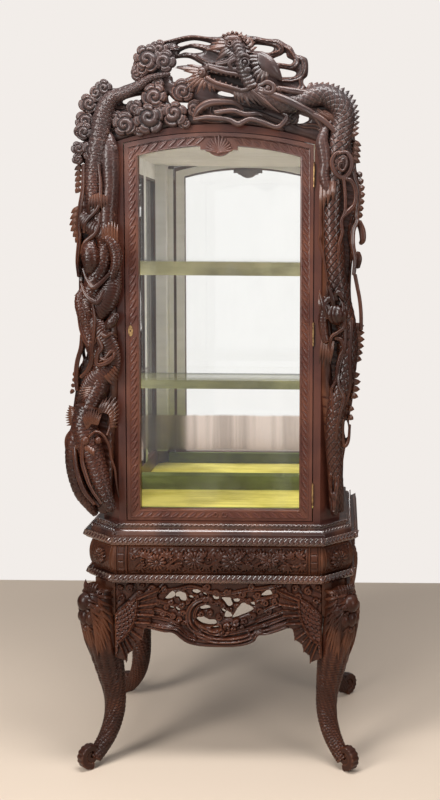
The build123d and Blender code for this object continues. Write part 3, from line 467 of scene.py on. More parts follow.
def tube(carving, stations, spacing, around, flat=1.0, surface=None, front=(0, -1, 0), blunt=0.6):
    """Body along stations of (x, y, z, radius), closed at both ends.

    flat scales the thickness towards the front. surface(along, turn, radius) gives
    how far the skin stands out, with along in millimetres and turn from 0 at the front.
    """
    path, along = smooth_path(stations, spacing)
    centre, radius = path[:, :3], np.maximum(path[:, 3], 0.15)
    heading = unit(np.gradient(centre, axis=0))
    facing = np.array(front, float) - heading * (heading @ np.array(front, float))[:, None]
    facing = unit(facing + 1e-6)
    side = np.cross(heading, facing)
    turn = np.arange(around) * math.tau / around
    s, a = np.meshgrid(along, turn, indexing="ij")
    r = np.repeat(radius[:, None], around, 1)
    if surface is not None:
        r = r + surface(s, a, r)
    skin = (
        centre[:, None]
        + facing[:, None] * (r * np.cos(a) * flat)[..., None]
        + side[:, None] * (r * np.sin(a))[..., None]
    )
    poles = [centre[0] - heading[0] * radius[0] * blunt, centre[-1] + heading[-1] * radius[-1] * blunt]
    carving.add(np.vstack([skin.reshape(-1, 3), poles]), *sleeve(len(centre), around))


def ball(carving, centre, radii, around, rows):
    """Egg or ball with three radii."""
    centre, radii = np.asarray(centre, float), np.asarray(radii, float)
    tilt = np.linspace(0, math.pi, rows + 1)[1:-1]
    t, a = np.meshgrid(tilt, np.arange(around) * math.tau / around, indexing="ij")
    skin = centre + radii * np.stack([np.sin(t) * np.cos(a), np.sin(t) * np.sin(a), np.cos(t)], -1)
    poles = [centre + radii * (0, 0, 1), centre - radii * (0, 0, 1)]
    quads, caps = sleeve(rows - 1, around)
    carving.add(np.vstack([skin.reshape(-1, 3), poles]), quads[:, ::-1], caps[:, ::-1])


def scales(pitch, across, lift):
    """Surface of overlapping rounded scales: pitch along the body, across of them round it."""

    def surface(along, turn, radius):
        u = along / pitch
        v = turn / math.tau * across
        skin = groove = 0.0
        for back in (0, 1):
            row = np.floor(u) - back
            x = v - 0.5 * (row % 2)
            x = 2 * (x - np.round(x))
            share = (u - row) / (1.0 + 0.65 * round_top(x))
            dome = (0.35 + 0.65 * np.clip(share, 0, 1)) * (1 - 0.28 * x**2)
            skin = np.where(share < 1, dome, skin)
            groove = np.where(share < 1, 0, bell(share - 1, 0.11)) if back else groove
        return lift * (skin - 0.6 - 0.5 * groove)

    return surface


def net(pitch, across, lift):
    """Surface of flat lozenge scales between two crossing families of cuts."""

    def surface(along, turn, radius):
        v = turn / math.tau * across
        rising, falling = along / pitch + v, along / pitch - v
        gap = np.minimum(np.abs(rising - np.round(rising)), np.abs(falling - np.round(falling)))
        tip = 0.5 * (rising - np.floor(rising) + falling - np.floor(falling))
        return lift * (0.75 * np.clip(gap / 0.12, 0, 1) ** 0.6 + 0.3 * tip - 0.75)

    return surface


def rings(pitch, lift, wobble):
    """Surface of uneven rings, like a trunk's wrinkles."""

    def surface(along, turn, radius):
        phase = along / pitch + wobble * np.sin(3 * turn + 0.05 * along)
        return lift * (np.abs(np.sin(math.pi * phase)) - 0.6)

    return surface


# ---- Carved plates ----


def outline_distance(u, v, outline):
    """Distance inside (positive) or outside a closed outline of (u, v) points."""
    outline = np.asarray(outline, float)
    nearest = np.full(u.shape, 1e9)
    inside = np.zeros(u.shape, bool)
    for (a, b), (c, d) in zip(outline, np.roll(outline, -1, 0)):
        run_u, run_v = c - a, d - b
        share = np.clip(((u - a) * run_u + (v - b) * run_v) / max(run_u**2 + run_v**2, 1e-9), 0, 1)
        nearest = np.minimum(nearest, (u - a - share * run_u) ** 2 + (v - b - share * run_v) ** 2)
        if b != d:
            inside ^= ((b > v) != (d > v)) & (u < (c - a) * (v - b) / (d - b) + a)
    return np.where(inside, 1, -1) * np.sqrt(nearest)


def rounded(outline, spacing=4.0):
    return smooth_path(outline, spacing, closed=True)[0]


def path_distance(u, v, path):
    """Distance to a line of (u, v, width) points and its width there."""
    path = np.asarray(path, float)
    nearest = np.full(u.shape, 1e9)
    width = np.zeros(u.shape)
    for (a, b, w), (c, d, x) in zip(path, path[1:]):
        run_u, run_v = c - a, d - b
        length = max(math.hypot(run_u, run_v), 1e-6)
        share = np.clip(((u - a) * run_u + (v - b) * run_v) / length**2, 0, 1)
        gap = (u - a - share * run_u) ** 2 + (v - b - share * run_v) ** 2
        closer = gap < nearest
        nearest = np.where(closer, gap, nearest)
        width = np.where(closer, w + share * (x - w), width)
    return np.sqrt(nearest), np.maximum(width, 1e-3)


def plate(carving, low, high, step, inside, height, back, place):
    """Closed carved plate over a (u, v) grid.

    inside(u, v) is positive within its outline, height(u, v, d) is the front's
    height at distance d from the outline, back the level behind it, and
    place(u, v, h) puts its points on the cabinet.
    """
    lines = [np.arange(low[axis] - step, high[axis] + 2 * step, step) for axis in (0, 1)]
    u, v = np.meshgrid(*lines, indexing="ij")
    d = inside(u, v)
    within = d > 0
    near = np.zeros_like(within)
    for du in (-1, 0, 1):
        for dv in (-1, 0, 1):
            near |= np.roll(np.roll(within, du, 0), dv, 1)
    near &= ~within
    slope_u, slope_v = np.gradient(d, step)
    steep = np.maximum(slope_u**2 + slope_v**2, 0.25)
    snap = near | (within & (d < 0.3 * step))
    shift = np.where(snap, np.clip(d, -1.5 * step, step) / steep, 0)
    u, v = u - shift * slope_u, v - shift * slope_v
    d = np.where(snap, 0, d)
    keep = within[:-1, :-1] | within[1:, :-1] | within[1:, 1:] | within[:-1, 1:]
    index = np.arange(u.size).reshape(u.shape)
    corners = [index[:-1, :-1], index[1:, :-1], index[1:, 1:], index[:-1, 1:]]
    front = np.stack([c[keep] for c in corners], -1)
    size = u.size
    padded = np.pad(keep, 1)
    walls = []
    for side, (du, dv) in enumerate(((0, -1), (1, 0), (0, 1), (-1, 0))):
        open_side = keep & ~padded[1 + du: 1 + du + keep.shape[0], 1 + dv: 1 + dv + keep.shape[1]]
        a, b = corners[side][open_side], corners[(side + 1) % 4][open_side]
        walls.append(np.stack([b, a, a + size, b + size], -1))
    faces = np.vstack([front, front[:, ::-1] + size] + walls)
    h = height(u, v, d)
    points = np.concatenate([
        place(u.ravel(), v.ravel(), h.ravel()),
        place(u.ravel(), v.ravel(), np.broadcast_to(back, u.shape).ravel()),
    ])
    used, faces = np.unique(faces, return_inverse=True)
    carving.add(points[used], faces.reshape(-1, 4))


def upright(level_y):
    """Puts a plate's (u, v, h) at (x, z), h in front of a level."""
    return lambda u, v, h: np.column_stack([u, -(level_y + h), v])


def both(*insides):
    """Distance inside every one of several outlines."""
    return np.minimum.reduce(insides)


def pierced(u, v, outline, openings):
    """Distance inside an outline and outside its openings."""
    return both(outline_distance(u, v, outline), *[-outline_distance(u, v, hole) for hole in openings])


def raised(u, v, base, *strokes):
    """Ground with rounded strokes on it, each a (path, rise, hollow) triple."""
    level = base
    for path, rise, hollow in strokes:
        gap, width = path_distance(u, v, path)
        share = gap / width
        profile = round_top(share) - hollow * bell(share, 0.35)
        level = np.maximum(level, np.where(share < 1, base + rise * profile, 0))
    return level


def scroll(centre, radius, start, turns, hand, width, eye=0.12):
    """Path (u, v, width) of a scroll that winds in to its eye; start is in degrees."""
    share = np.linspace(0, 1, int(14 * turns) + 2)
    angle = math.radians(start) + hand * share * turns * math.tau
    reach = radius * (eye + (1 - eye - width) * (1 - share) ** 0.8)
    width = width * radius * (1 - 0.35 * share)
    return np.column_stack([centre[0] + reach * np.cos(angle), centre[1] + reach * np.sin(angle), width])


# ---- Carver's shapes ----


def spread(points, count):
    """Even points along a smooth curve, or one point many times."""
    points = np.asarray(points, float)
    if len(points) == 1:
        return np.repeat(points, count, 0)
    curve, place = smooth_path(points, 1.0)
    even = np.linspace(0, place[-1], count)
    return np.column_stack([np.interp(even, place, column) for column in curve.T])


def fan(carving, roots, tips, count, radius, bow):
    """Row of tapering blades between lines of (x, millimetres ahead, z), bowed to the front."""
    for root, tip in zip(spread(roots, count), spread(tips, count)):
        line = root, 0.5 * (root + tip) + (0, bow, 0), tip
        stations = [(x, -ahead, z, radius * share) for (x, ahead, z), share in zip(line, (1.2, 1.05, 0.12))]
        tube(carving, stations, np.linalg.norm(tip - root) / 6, 6, 0.7)


def hollowed(depth):
    """Surface with a hollow down the middle of the face."""
    return lambda along, turn, radius: -depth * radius * bell(np.sin(turn), 0.35)


def band(carving, rows, flat, hollow, spacing=3.0):
    """Ribbon through rows of (x, millimetres ahead, z, half width)."""
    stations = [(x, -ahead, z, width) for x, ahead, z, width in rows]
    tube(carving, stations, spacing, 14, flat, hollowed(hollow) if hollow else None)


def cloud(carving, x, ahead, z, size, start, hand, lobes):
    """Cloud scroll: petals with rolled rims, larger on one side, round a raised spiral.

    With 0 lobes it is a plain round scroll.
    """

    def shape(u, v):
        turn = np.arctan2(v - z, u - x) - math.radians(start)
        petal = np.abs(np.cos(0.5 * lobes * turn + 0.7 * np.sin(turn)))
        rim = size * (0.94 + 0.16 * np.cos(turn - 1.1 * hand) + 0.26 * petal**0.6)
        return np.hypot(u - x, v - z), turn, petal, rim

    def inside(u, v):
        reach, *_, rim = shape(u, v)
        return rim - reach

    def height(u, v, d):
        reach, turn, petal, rim = shape(u, v)
        share = reach / rim
        coil = 1.55 * reach / size - hand * turn / math.tau
        dome = 0.46 * round_top(0.9 * share)
        roll = 0.09 * bell(share - 0.90, 0.09) - 0.05 * bell(share - 0.76, 0.07)
        parting = -0.17 * bell(petal, 0.20) * np.clip((share - 0.66) / 0.2, 0, 1)
        spiral = 0.24 * (np.abs(np.sin(math.pi * coil)) ** 0.7 - 0.5)
        spiral = spiral * np.clip((0.86 - share) / 0.15, 0, 1)
        return size * (dome + (roll + parting) * (lobes > 0) + spiral)

    reach, step = 1.4 * size, max(1.3, 0.055 * size)
    plate(carving, (x - reach, z - reach), (x + reach, z + reach), step, inside, height, -6, upright(ahead))


def rolled(carving, ahead, line, around=10):
    """Thin rolled scroll along a path of (x, z, width) on one level."""
    tube(carving, [(x, -ahead, z, width) for x, z, width in line], 1.5, around)


def hoop(carving, middle, wide, high, thick, count=16, spacing=1.5, around=10, skew=0):
    """Ring round a middle, one side of it lower by skew."""
    x, y, z = middle
    turns = np.linspace(0, 6.4, count)
    ring = [(x + wide * math.cos(a), y, z + high * math.sin(a) - skew * math.cos(a), thick) for a in turns]
    tube(carving, ring, spacing, around)


def prism(carving, outline, low, high, bevel=1.5):
    """Upright block over a closed outline of (x, y) points, its rims bevelled."""
    outline = np.asarray(outline, float)
    count = len(outline)
    middle = outline.mean(0)
    inner = outline + unit(middle - outline) * bevel * 1.4
    loops = [(inner, low), (outline, low + bevel), (outline, high - bevel), (inner, high)]
    points = np.vstack([np.column_stack([loop, np.full(count, z)]) for loop, z in loops])
    ring = np.arange(count)
    step = (ring + 1) % count
    sides = [np.column_stack([ring, step, step + count, ring + count]) + k * count for k in range(3)]
    carving.add(points, np.vstack(sides), ring[None, ::-1], ring[None] + 3 * count)


# ---- Where the carvings stand ----

post_low, post_high = in_mm(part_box("front_post_right"))
case_half, case_front = post_high.x, -post_low.y
cant_end = case_front - (post_high.x - post_low.x)
arch_spring = post_high.z
post_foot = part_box("bead_moulding")[1].z / MM
crest_back = -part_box("crest_carving")[1].y / MM
crest_front = crest_back + 29.5
rail_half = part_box("head_rail")[1].x / MM
arch_foot = in_mm(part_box("crest_carving"))[0].z
arch_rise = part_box("head_rail")[1].z / MM - arch_foot


def on_post(side_x, out, ahead, share):
    """Point of a post carving: beyond the case's side, before its canted corner, up its height."""
    return side_x * (case_half + out), -(cant_end + ahead), post_foot + share * (arch_spring - post_foot)


def over_arch(share, rise, depth):
    """Point of the crest: share of the half width, rise over the spring, depth in front."""
    return case_half * share, -(crest_front + depth), arch_foot - 2 + rise


def canted(side_x):
    """Puts a plate's (u, v, h) on the canted corner of a side."""
    middle = (post_low.x + post_high.x) / 2, (cant_end + case_front) / 2
    half = math.sqrt(0.5)
    return lambda u, v, h: np.column_stack([
        side_x * middle[0] + (u + side_x * h) * half,
        -middle[1] + (side_x * u - h) * half,
        v,
    ])


# ---- Crest ----

crest_outline = rounded([
    (-310, 1612), (-346, 1620), (-352, 1645), (-346, 1677), (-341, 1706), (-326, 1726), (-311, 1746),
    (-294, 1755), (-259, 1753), (-239, 1760), (-212, 1770), (-198, 1784), (-204, 1795), (-216, 1809),
    (-211, 1825), (-195, 1838), (-172, 1837), (-168, 1850), (-161, 1861), (-122, 1873), (-70, 1884),
    (-16, 1880), (26, 1886), (67, 1885), (93, 1883), (119, 1877), (147, 1877), (165, 1866), (182, 1857),
    (193, 1839), (211, 1835), (222, 1826), (222, 1792), (211, 1778), (217, 1761), (240, 1756), (269, 1757),
    (292, 1752), (312, 1742), (330, 1729), (338, 1705), (338, 1671), (342, 1640), (340, 1612),
    (310, 1606), (0, 1600),
])
crest_openings = [rounded(points, 3) for points in (
    [(-105, 1866), (-65, 1875), (-24, 1868), (-27, 1861), (-65, 1864), (-96, 1857)],
    [(-102, 1838), (-97, 1848), (-71, 1856), (-39, 1846), (-62, 1841), (-85, 1843)],
    [(-134, 1798), (-120, 1815), (-114, 1828), (-79, 1831), (-53, 1819), (-39, 1810), (-68, 1812),
     (-108, 1807), (-68, 1793), (-77, 1782), (-114, 1770), (-120, 1784)],
    [(-17, 1803), (-2, 1809), (26, 1811), (21, 1799), (18, 1791), (-2, 1796)],
    [(87, 1864), (101, 1865), (133, 1860), (136, 1851), (124, 1843), (104, 1847), (82, 1850)],
    [(133, 1830), (153, 1839), (166, 1846), (170, 1835), (185, 1826), (179, 1816), (159, 1818), (139, 1819)],
    [(147, 1805), (165, 1805), (192, 1798), (188, 1786), (165, 1784), (153, 1786)],
    [(-242, 1726), (-201, 1737), (-196, 1727), (-224, 1715), (-242, 1716)],
    [(-244, 1678), (-231, 1682), (-225, 1672), (-236, 1671)],
    [(-129, 1739), (-109, 1722), (-74, 1719), (-71, 1711), (-86, 1702), (-100, 1710), (-126, 1719)],
    [(-6, 1745), (9, 1750), (35, 1740), (32, 1734), (3, 1738)],
    [(184, 1680), (197, 1691), (217, 1694), (226, 1681), (220, 1674), (201, 1668)],
    [(68, 1860), (75, 1866), (82, 1860), (76, 1853)],
)]
streamers = [smooth_path(path, 5)[0] for path in (
    [(-161, 1861, 2), (-121, 1872, 5), (-69, 1882, 6), (-15, 1877, 6), (25, 1861, 8)],
    [(-135, 1847, 3), (-97, 1851, 5), (-60, 1859, 6), (-17, 1850, 7), (15, 1841, 8)],
    [(-117, 1830, 3), (-72, 1837, 5), (-47, 1823, 6), (-17, 1811, 7), (15, 1819, 9)],
    [(-72, 1790, 3), (-40, 1806, 5), (-17, 1811, 5)],
    [(50, 1862, 6), (77, 1877, 7), (117, 1869, 8), (148, 1862, 8), (156, 1845, 8), (128, 1836, 8),
     (92, 1838, 7), (70, 1835, 7)],
    [(70, 1880, 5), (120, 1873, 5), (158, 1866, 6), (180, 1850, 7), (195, 1826, 8), (184, 1808, 8),
     (150, 1812, 7), (120, 1822, 6)],
    [(165, 1858, 4), (200, 1835, 6), (214, 1816, 7), (211, 1792, 7), (193, 1778, 7), (158, 1776, 6),
     (140, 1790, 5)],
    [(206, 1775, 7), (208, 1758, 9), (190, 1745, 8), (150, 1752, 6)],
    [(-60, 1690, 3), (-25, 1706, 6), (10, 1702, 8), (45, 1690, 7), (90, 1694, 6), (140, 1676, 6),
     (172, 1668, 6), (186, 1690, 6)],
    [(-50, 1676, 4), (-10, 1672, 7), (50, 1674, 7), (110, 1664, 6), (160, 1652, 5)],
    [(-20, 1720, 5), (20, 1722, 8), (60, 1716, 7), (110, 1705, 5)],
    [(-275, 1700, 4), (-245, 1704, 5), (-222, 1697, 5), (-206, 1680, 5), (-205, 1665, 4)],
    [(-262, 1672, 4), (-245, 1690, 5), (-225, 1690, 4), (-212, 1672, 4)],
    [(-292, 1640, 6), (-262, 1650, 6), (-226, 1652, 5), (-196, 1662, 4)],
    [(196, 1668, 4), (216, 1662, 7), (246, 1660, 8), (280, 1640, 7)],
)]


def crest_inside(u, v):
    circle = (rail_half**2 + arch_rise**2) / (2 * arch_rise)
    arch = arch_foot + arch_rise - circle + np.sqrt(np.maximum(circle**2 - u**2, 0))
    over = v - np.maximum(arch, arch_spring) - 0.3
    return both(pierced(u, v, crest_outline, crest_openings), over)


crest_mouth = [(-26, 1794), (20, 1788), (62, 1780), (70, 1762), (62, 1748), (10, 1754), (-28, 1768)]


def crest_height(u, v, d):
    waves = 1.2 * np.sin(0.21 * v + 2.2 * np.sin(0.035 * u) + 0.05 * u)
    ground = crest_back + 15 + 8 * np.clip(d / 9, 0, 1) ** 0.5 + waves * np.clip(d / 6, 0, 1)
    ground = ground - 16 * np.clip(outline_distance(u, v, crest_mouth) / 4, 0, 1)
    return raised(u, v, ground, *[(path, 9, 0.45) for path in streamers])


crest = Carving()
plate(crest, (-354, 1616), (344, 1890), 2, crest_inside, crest_height, crest_back, upright(0))
tail_rows = [(-0.965, 5, 6, 25), (-0.95, 34, 6, 24), (-0.916, 80, 6, 22), (-0.852, 109, 8, 18),
             (-0.755, 120, 10, 14), (-0.648, 137, 10, 11), (-0.545, 159, 8, 8), (-0.39, 170, 6, 4)]
neck_rows = [(0.635, 98, 14, 24), (0.516, 97, 16, 24), (0.416, 110, 18, 26), (0.306, 128, 20, 26)]
loop_rows = [(0.981, 5, 6, 27), (0.997, 34, 6, 27), (1.013, 71, 6, 28), (0.965, 101, 8, 28),
             (0.858, 120, 10, 27), (0.755, 115, 12, 25), (0.62, 96, 14, 22)]
for rows, skin in ((tail_rows, scales(8, 10, 2.7)), (loop_rows, net(16, 9, 3.6)),
                   (neck_rows, net(16, 9, 3.4))):
    tube(crest, [(*over_arch(*row[:3]), row[3]) for row in rows], 2, 72, 1, skin)
skull_rows = [(40, -244, 1868, 11), (50, -247, 1854, 14), (57, -249, 1834, 15), (62, -251, 1814, 17),
              (68, -251, 1794, 18), (76, -250, 1772, 17), (88, -248, 1750, 17)]
tube(crest, skull_rows, 1.8, 48, 0.8, rings(10, 3, 0.25))
ear_rows = [(92, -250, 1828, 9), (106, -254, 1820, 17), (124, -254, 1804, 20), (142, -250, 1787, 15),
            (160, -242, 1770, 3)]
tube(crest, ear_rows, 2, 48, 0.5, lambda along, turn, radius: 0.10 * radius * np.abs(np.sin(3.5 * turn)))
for jaw in (
    [(84, -246, 1738, 11), (48, -248, 1741, 8), (18, -249, 1747, 8), (-12, -249, 1757, 8),
     (-34, -248, 1769, 8)],
    [(74, -246, 1788, 12), (56, -248, 1792, 8), (30, -249, 1794, 6), (0, -249, 1798, 6),
     (-22, -249, 1802, 7)],
):
    tube(crest, jaw, 2, 24, 0.8)
for centre, radii in (
    ((71, -270, 1808), (5.5, 5, 5.5)), ((76, -261, 1790), (11, 8, 10)), ((-36, -250, 1786), (12, 10, 14)),
    ((-24, -254, 1797), (5, 6, 9)), ((127, -254, 1748), (8, 6, 8)), ((38, -242, 1868), (27, 14, 12)),
):
    ball(crest, centre, radii, 24, 16)
for place in np.linspace(0, 1, 26):
    height = 1872 + 9 * math.sin(math.pi * place) + 3 * math.sin(29 * place)
    ball(crest, (14 + 50 * place, -248 - 4 * math.sin(40 * place), height), (3.2, 3.2, 3.2), 8, 6)
for middle, size, thick in (((71, -266, 1808), 10, 2.6), ((75, -236, 1859), 11, 4.5),
                            ((-40, -259, 1785), 5, 2)):
    hoop(crest, middle, size, size, thick)
hoop(crest, (217, -234, 1728), 21, 11, 5, 20, 2, 12, 6)
rolled(crest, 252, scroll((32, 1856), 13, 150, 1.4, 1, 0.26), 12)
crest_mane = Carving()
for rows, flat, hollow in (
    ([(66, 249, 1776, 5), (48, 253, 1781, 5), (27, 255, 1784, 5), (7, 255, 1789, 5),
      (-20, 252, 1798, 5)], 0.9, 0),
    ([(62, 252, 1742, 5), (25, 256, 1752, 5), (-2, 256, 1760, 5), (-26, 254, 1773, 5)], 0.9, 0),
    ([(60, 250, 1776, 4), (75, 253, 1766, 6), (82, 254, 1755, 7), (75, 254, 1745, 6),
      (58, 252, 1742, 5)], 0.9, 0),
    ([(56, 262, 1822, 4), (66, 266, 1826, 5), (78, 265, 1824, 4), (86, 262, 1816, 3)], 0.9, 0),
    ([(50, 250, 1831, 5), (38, 253, 1820, 6), (25, 253, 1811, 6), (-2, 248, 1806, 5)], 0.8, 0.3),
    ([(52, 251, 1820, 6), (36, 255, 1812, 6), (31, 255, 1804, 5), (36, 253, 1796, 4),
      (27, 248, 1785, 2)], 0.8, 0.2),
    ([(93, 250, 1755, 3), (110, 254, 1757, 5), (124, 257, 1762, 6), (138, 257, 1756, 6), (142, 257, 1745, 6),
      (134, 257, 1737, 5), (120, 257, 1738, 5), (114, 256, 1746, 4)], 0.8, 0.2),
    ([(140, 254, 1752, 4), (150, 253, 1746, 5), (158, 250, 1740, 2)], 0.8, 0),
    ([(104, 252, 1745, 6), (141, 254, 1731, 9), (180, 252, 1716, 10), (209, 248, 1702, 9),
      (234, 240, 1690, 8), (251, 234, 1672, 7), (262, 230, 1648, 4)], 0.7, 0.3),
    ([(150, 248, 1750, 5), (180, 246, 1744, 8), (205, 242, 1741, 8), (240, 240, 1733, 7),
      (256, 240, 1716, 4)], 0.7, 0.3),
    ([(230, 240, 1690, 5), (258, 240, 1676, 7), (282, 238, 1656, 6), (296, 236, 1636, 3)], 0.7, 0.2),
    ([(-6, 240, 1690, 5), (15, 243, 1692, 6), (40, 243, 1694, 6), (69, 240, 1686, 6), (97, 237, 1688, 5),
      (112, 232, 1684, 3)], 0.7, 0.3),
    ([(-60, 232, 1674, 4), (-25, 237, 1678, 6), (11, 239, 1675, 6), (31, 239, 1671, 6), (52, 239, 1662, 7),
      (81, 239, 1674, 6), (114, 239, 1666, 6), (147, 237, 1655, 6), (166, 237, 1668, 6), (172, 235, 1683, 5),
      (160, 232, 1690, 3)], 0.7, 0.3),
    ([(-60, 232, 1680, 4), (-45, 237, 1700, 8), (-20, 239, 1713, 9), (11, 239, 1716, 8), (44, 238, 1713, 6),
      (62, 234, 1700, 4)], 0.7, 0.3),
):
    band(crest_mane, rows, flat, hollow, 2.5)
upper_teeth = (-12, 1792), (0, 1789), (12, 1786), (24, 1783), (36, 1781), (48, 1779), (58, 1776)
lower_teeth = (-18, 1771), (-6, 1764), (8, 1759), (22, 1755), (36, 1751), (50, 1747)
blades = [(x, 250, z, x - 1.5, 250, z - 8, 2.2) for x, z in upper_teeth]
blades += [(x, 252, z, x + 1, 251, z + 8, 2.2) for x, z in lower_teeth]
blades += [
    (-42, 248, 1790, -104, 238, 1798, 5), (-38, 248, 1796, -75, 238, 1806, 4.5),
    (-44, 250, 1784, -84, 241, 1790, 4), (-44, 252, 1781, -70, 243, 1774, 3.6),
    (-41, 253, 1776, -80, 243, 1760, 3.6), (-39, 253, 1774, -78, 243, 1746, 3.8),
    (-36, 253, 1770, -66, 243, 1744, 3.8), (-33, 253, 1765, -51, 243, 1733, 3.8),
    (-28, 253, 1761, -34, 243, 1742, 3.6), (-18, 253, 1757, -17, 243, 1738, 3.4),
    (-9, 253, 1754, -5, 243, 1740, 3.2), (2, 253, 1751, 8, 243, 1740, 3.2),
    (44, 252, 1739, 47, 242, 1718, 3.4), (52, 252, 1737, 55, 242, 1712, 3.6),
    (60, 252, 1735, 64, 242, 1712, 3.8), (66, 252, 1735, 82, 242, 1704, 4.2),
    (74, 252, 1735, 98, 242, 1708, 4.2), (82, 252, 1738, 112, 244, 1706, 4.4),
    (87, 254, 1742, 153, 250, 1690, 5), (90, 253, 1740, 124, 246, 1704, 4.2),
    (92, 254, 1742, 134, 252, 1716, 4.4), (98, 254, 1744, 142, 254, 1732, 4.4),
    (99, 262, 1822, 76, 264, 1822, 3.8), (100, 262, 1814, 78, 264, 1814, 3.8),
    (102, 262, 1806, 83, 263, 1803, 3.8), (105, 261, 1798, 84, 262, 1786, 4),
    (109, 260, 1792, 88, 260, 1773, 4.2), (113, 259, 1790, 97, 257, 1762, 4.2),
    (118, 258, 1788, 109, 255, 1758, 4.2), (124, 257, 1786, 122, 252, 1764, 4),
    (24, 248, 1862, -6, 238, 1868, 4.4), (27, 248, 1856, -14, 238, 1859, 5),
    (26, 248, 1850, -28, 238, 1842, 5.4), (28, 248, 1845, 2, 240, 1830, 5),
    (32, 249, 1839, -4, 240, 1816, 5.6), (41, 250, 1832, 24, 244, 1818, 4.6),
    (36, 250, 1834, 10, 242, 1824, 4.2), (46, 250, 1828, 30, 246, 1812, 4.2),
    (30, 248, 1852, -20, 238, 1850, 4.4),
]
for *root, far_x, far_ahead, far_z, radius in blades:
    fan(crest_mane, [root], [(far_x, far_ahead, far_z)], 1, radius, 3)
for roots, tips, count, radius, bow in (
    ([(55, 242, 1868), (72, 240, 1858), (84, 238, 1842)],
     [(60, 232, 1888), (86, 230, 1874), (98, 230, 1852)], 5, 4, 4),
    ([(228, 228, 1752), (280, 228, 1745), (318, 224, 1725), (332, 222, 1690), (332, 220, 1640)],
     [(234, 222, 1768), (284, 222, 1767), (332, 220, 1744), (352, 218, 1700), (352, 216, 1644)], 16, 7, 2),
    ([(196, 222, 1700), (230, 224, 1700), (262, 224, 1694)],
     [(252, 220, 1676), (292, 220, 1668), (318, 220, 1664)], 5, 7, 3),
):
    fan(crest_mane, roots, tips, count, radius, bow)
crest_clouds = Carving()
for x, z, size, start, hand, lobes in (
    (-174, 1680, 33, 200, 1, 6), (-112, 1690, 27, 20, -1, 5), (-235, 1658, 26, 160, -1, 4),
    (-159, 1729, 27, 60, 1, 5), (-88, 1742, 25, 30, 1, 4), (-178, 1820, 30, 120, -1, 6),
    (-136, 1815, 24, 0, 1, 4), (-146, 1846, 19, 80, 1, 4), (-322, 1712, 21, 120, 1, 4),
    (-334, 1668, 20, 200, -1, 4), (-285, 1750, 18, 90, 1, 4), (-60, 1700, 18, 0, 1, 3),
    (-192, 1796, 18, 90, 1, 3), (-6, 1697, 17, 180, -1, 0), (186, 1682, 13, 30, -1, 3),
    (-204, 1784, 15, 0, 1, 3), (-208, 1700, 18, 60, 1, 3), (-140, 1700, 16, 250, -1, 3),
    (-262, 1680, 17, 30, -1, 3), (-150, 1762, 14, 150, 1, 3), (-306, 1738, 17, 20, -1, 3),
    (-344, 1640, 15, 60, 1, 3), (-84, 1664, 13, 90, 1, 3), (-200, 1650, 14, 200, 1, 3),
):
    cloud(crest_clouds, x, 214, z, size, start, hand, lobes)
crest_mane.piece("crest_mane", "case", "carving_wood")
crest.piece("crest", "case", "carving_wood", ["crest_carving"])

# ---- Dragons on the posts ----


def post_stations(side_x, rows):
    """Stations on a post from rows of (out, ahead, share, radius)."""
    return [(*on_post(side_x, *row[:3]), row[3]) for row in rows]


def post_tube(carving, side_x, rows, surface, around, spacing=2.2, flat=1):
    tube(carving, post_stations(side_x, rows), spacing, around, flat, surface)


def post_body(side_x, rows):
    """Stations of a body on a post, lowest first."""
    return sorted(post_stations(side_x, rows), key=lambda station: station[2])


def lifted(rows, *bodies):
    """Ribbon rows moved ahead on to the skin of the bodies that would hide them."""
    clear = []
    for x, ahead, z, width in rows:
        for body in bodies:
            xs, ys, zs, radii = zip(*body)
            reach = np.interp(z, zs, radii) ** 2 - (x - np.interp(z, zs, xs)) ** 2
            if zs[0] < z < zs[-1] and reach > 0:
                ahead = max(ahead, math.sqrt(reach) - np.interp(z, zs, ys) + 0.5)
        clear.append((x, ahead, z, width))
    return clear


def ground_board(carving, side_x):
    """Board on the canted corner, cut with long leaf strokes."""
    low, half_width = post_foot + 40, 32

    def inside(u, v):
        inner = -half_width * np.clip((v - low) / 300, 0, 1)
        return both(side_x * u - inner, half_width - side_x * u, v - low, arch_spring + 4 - v)

    def height(u, v, d):
        leaf = np.abs(np.sin(0.16 * u + 0.055 * v + 1.5 * np.sin(0.02 * v)))
        return 14 + 6 * np.clip(d / 6, 0, 1) ** 0.5 + 3.0 * leaf * np.clip(d / 5, 0, 1)

    plate(carving, (-33, low), (33, arch_spring + 4), 2.5, inside, height, 0, canted(side_x))


def fretwork(carving, rim, openings, strokes):
    """Fretted board beside a canted corner, near the case's front, with strokes cut in it."""
    rim = rounded(rim)
    openings = [rounded(points, 3) for points in openings]
    strokes = [(smooth_path(path, 5)[0], 8, 0.4) for path in strokes]
    back = case_front - 12.5

    def inside(u, v):
        return pierced(u, v, rim, openings)

    def height(u, v, d):
        waves = np.sin(0.30 * v + 2.0 * np.sin(0.03 * v) + 0.08 * u)
        ground = back + 9 + 6 * np.clip(d / 8, 0, 1) ** 0.5 + waves * np.clip(d / 5, 0, 1)
        return raised(u, v, ground, *strokes)

    plate(carving, rim.min(0), rim.max(0), 2.2, inside, height, back, upright(0))


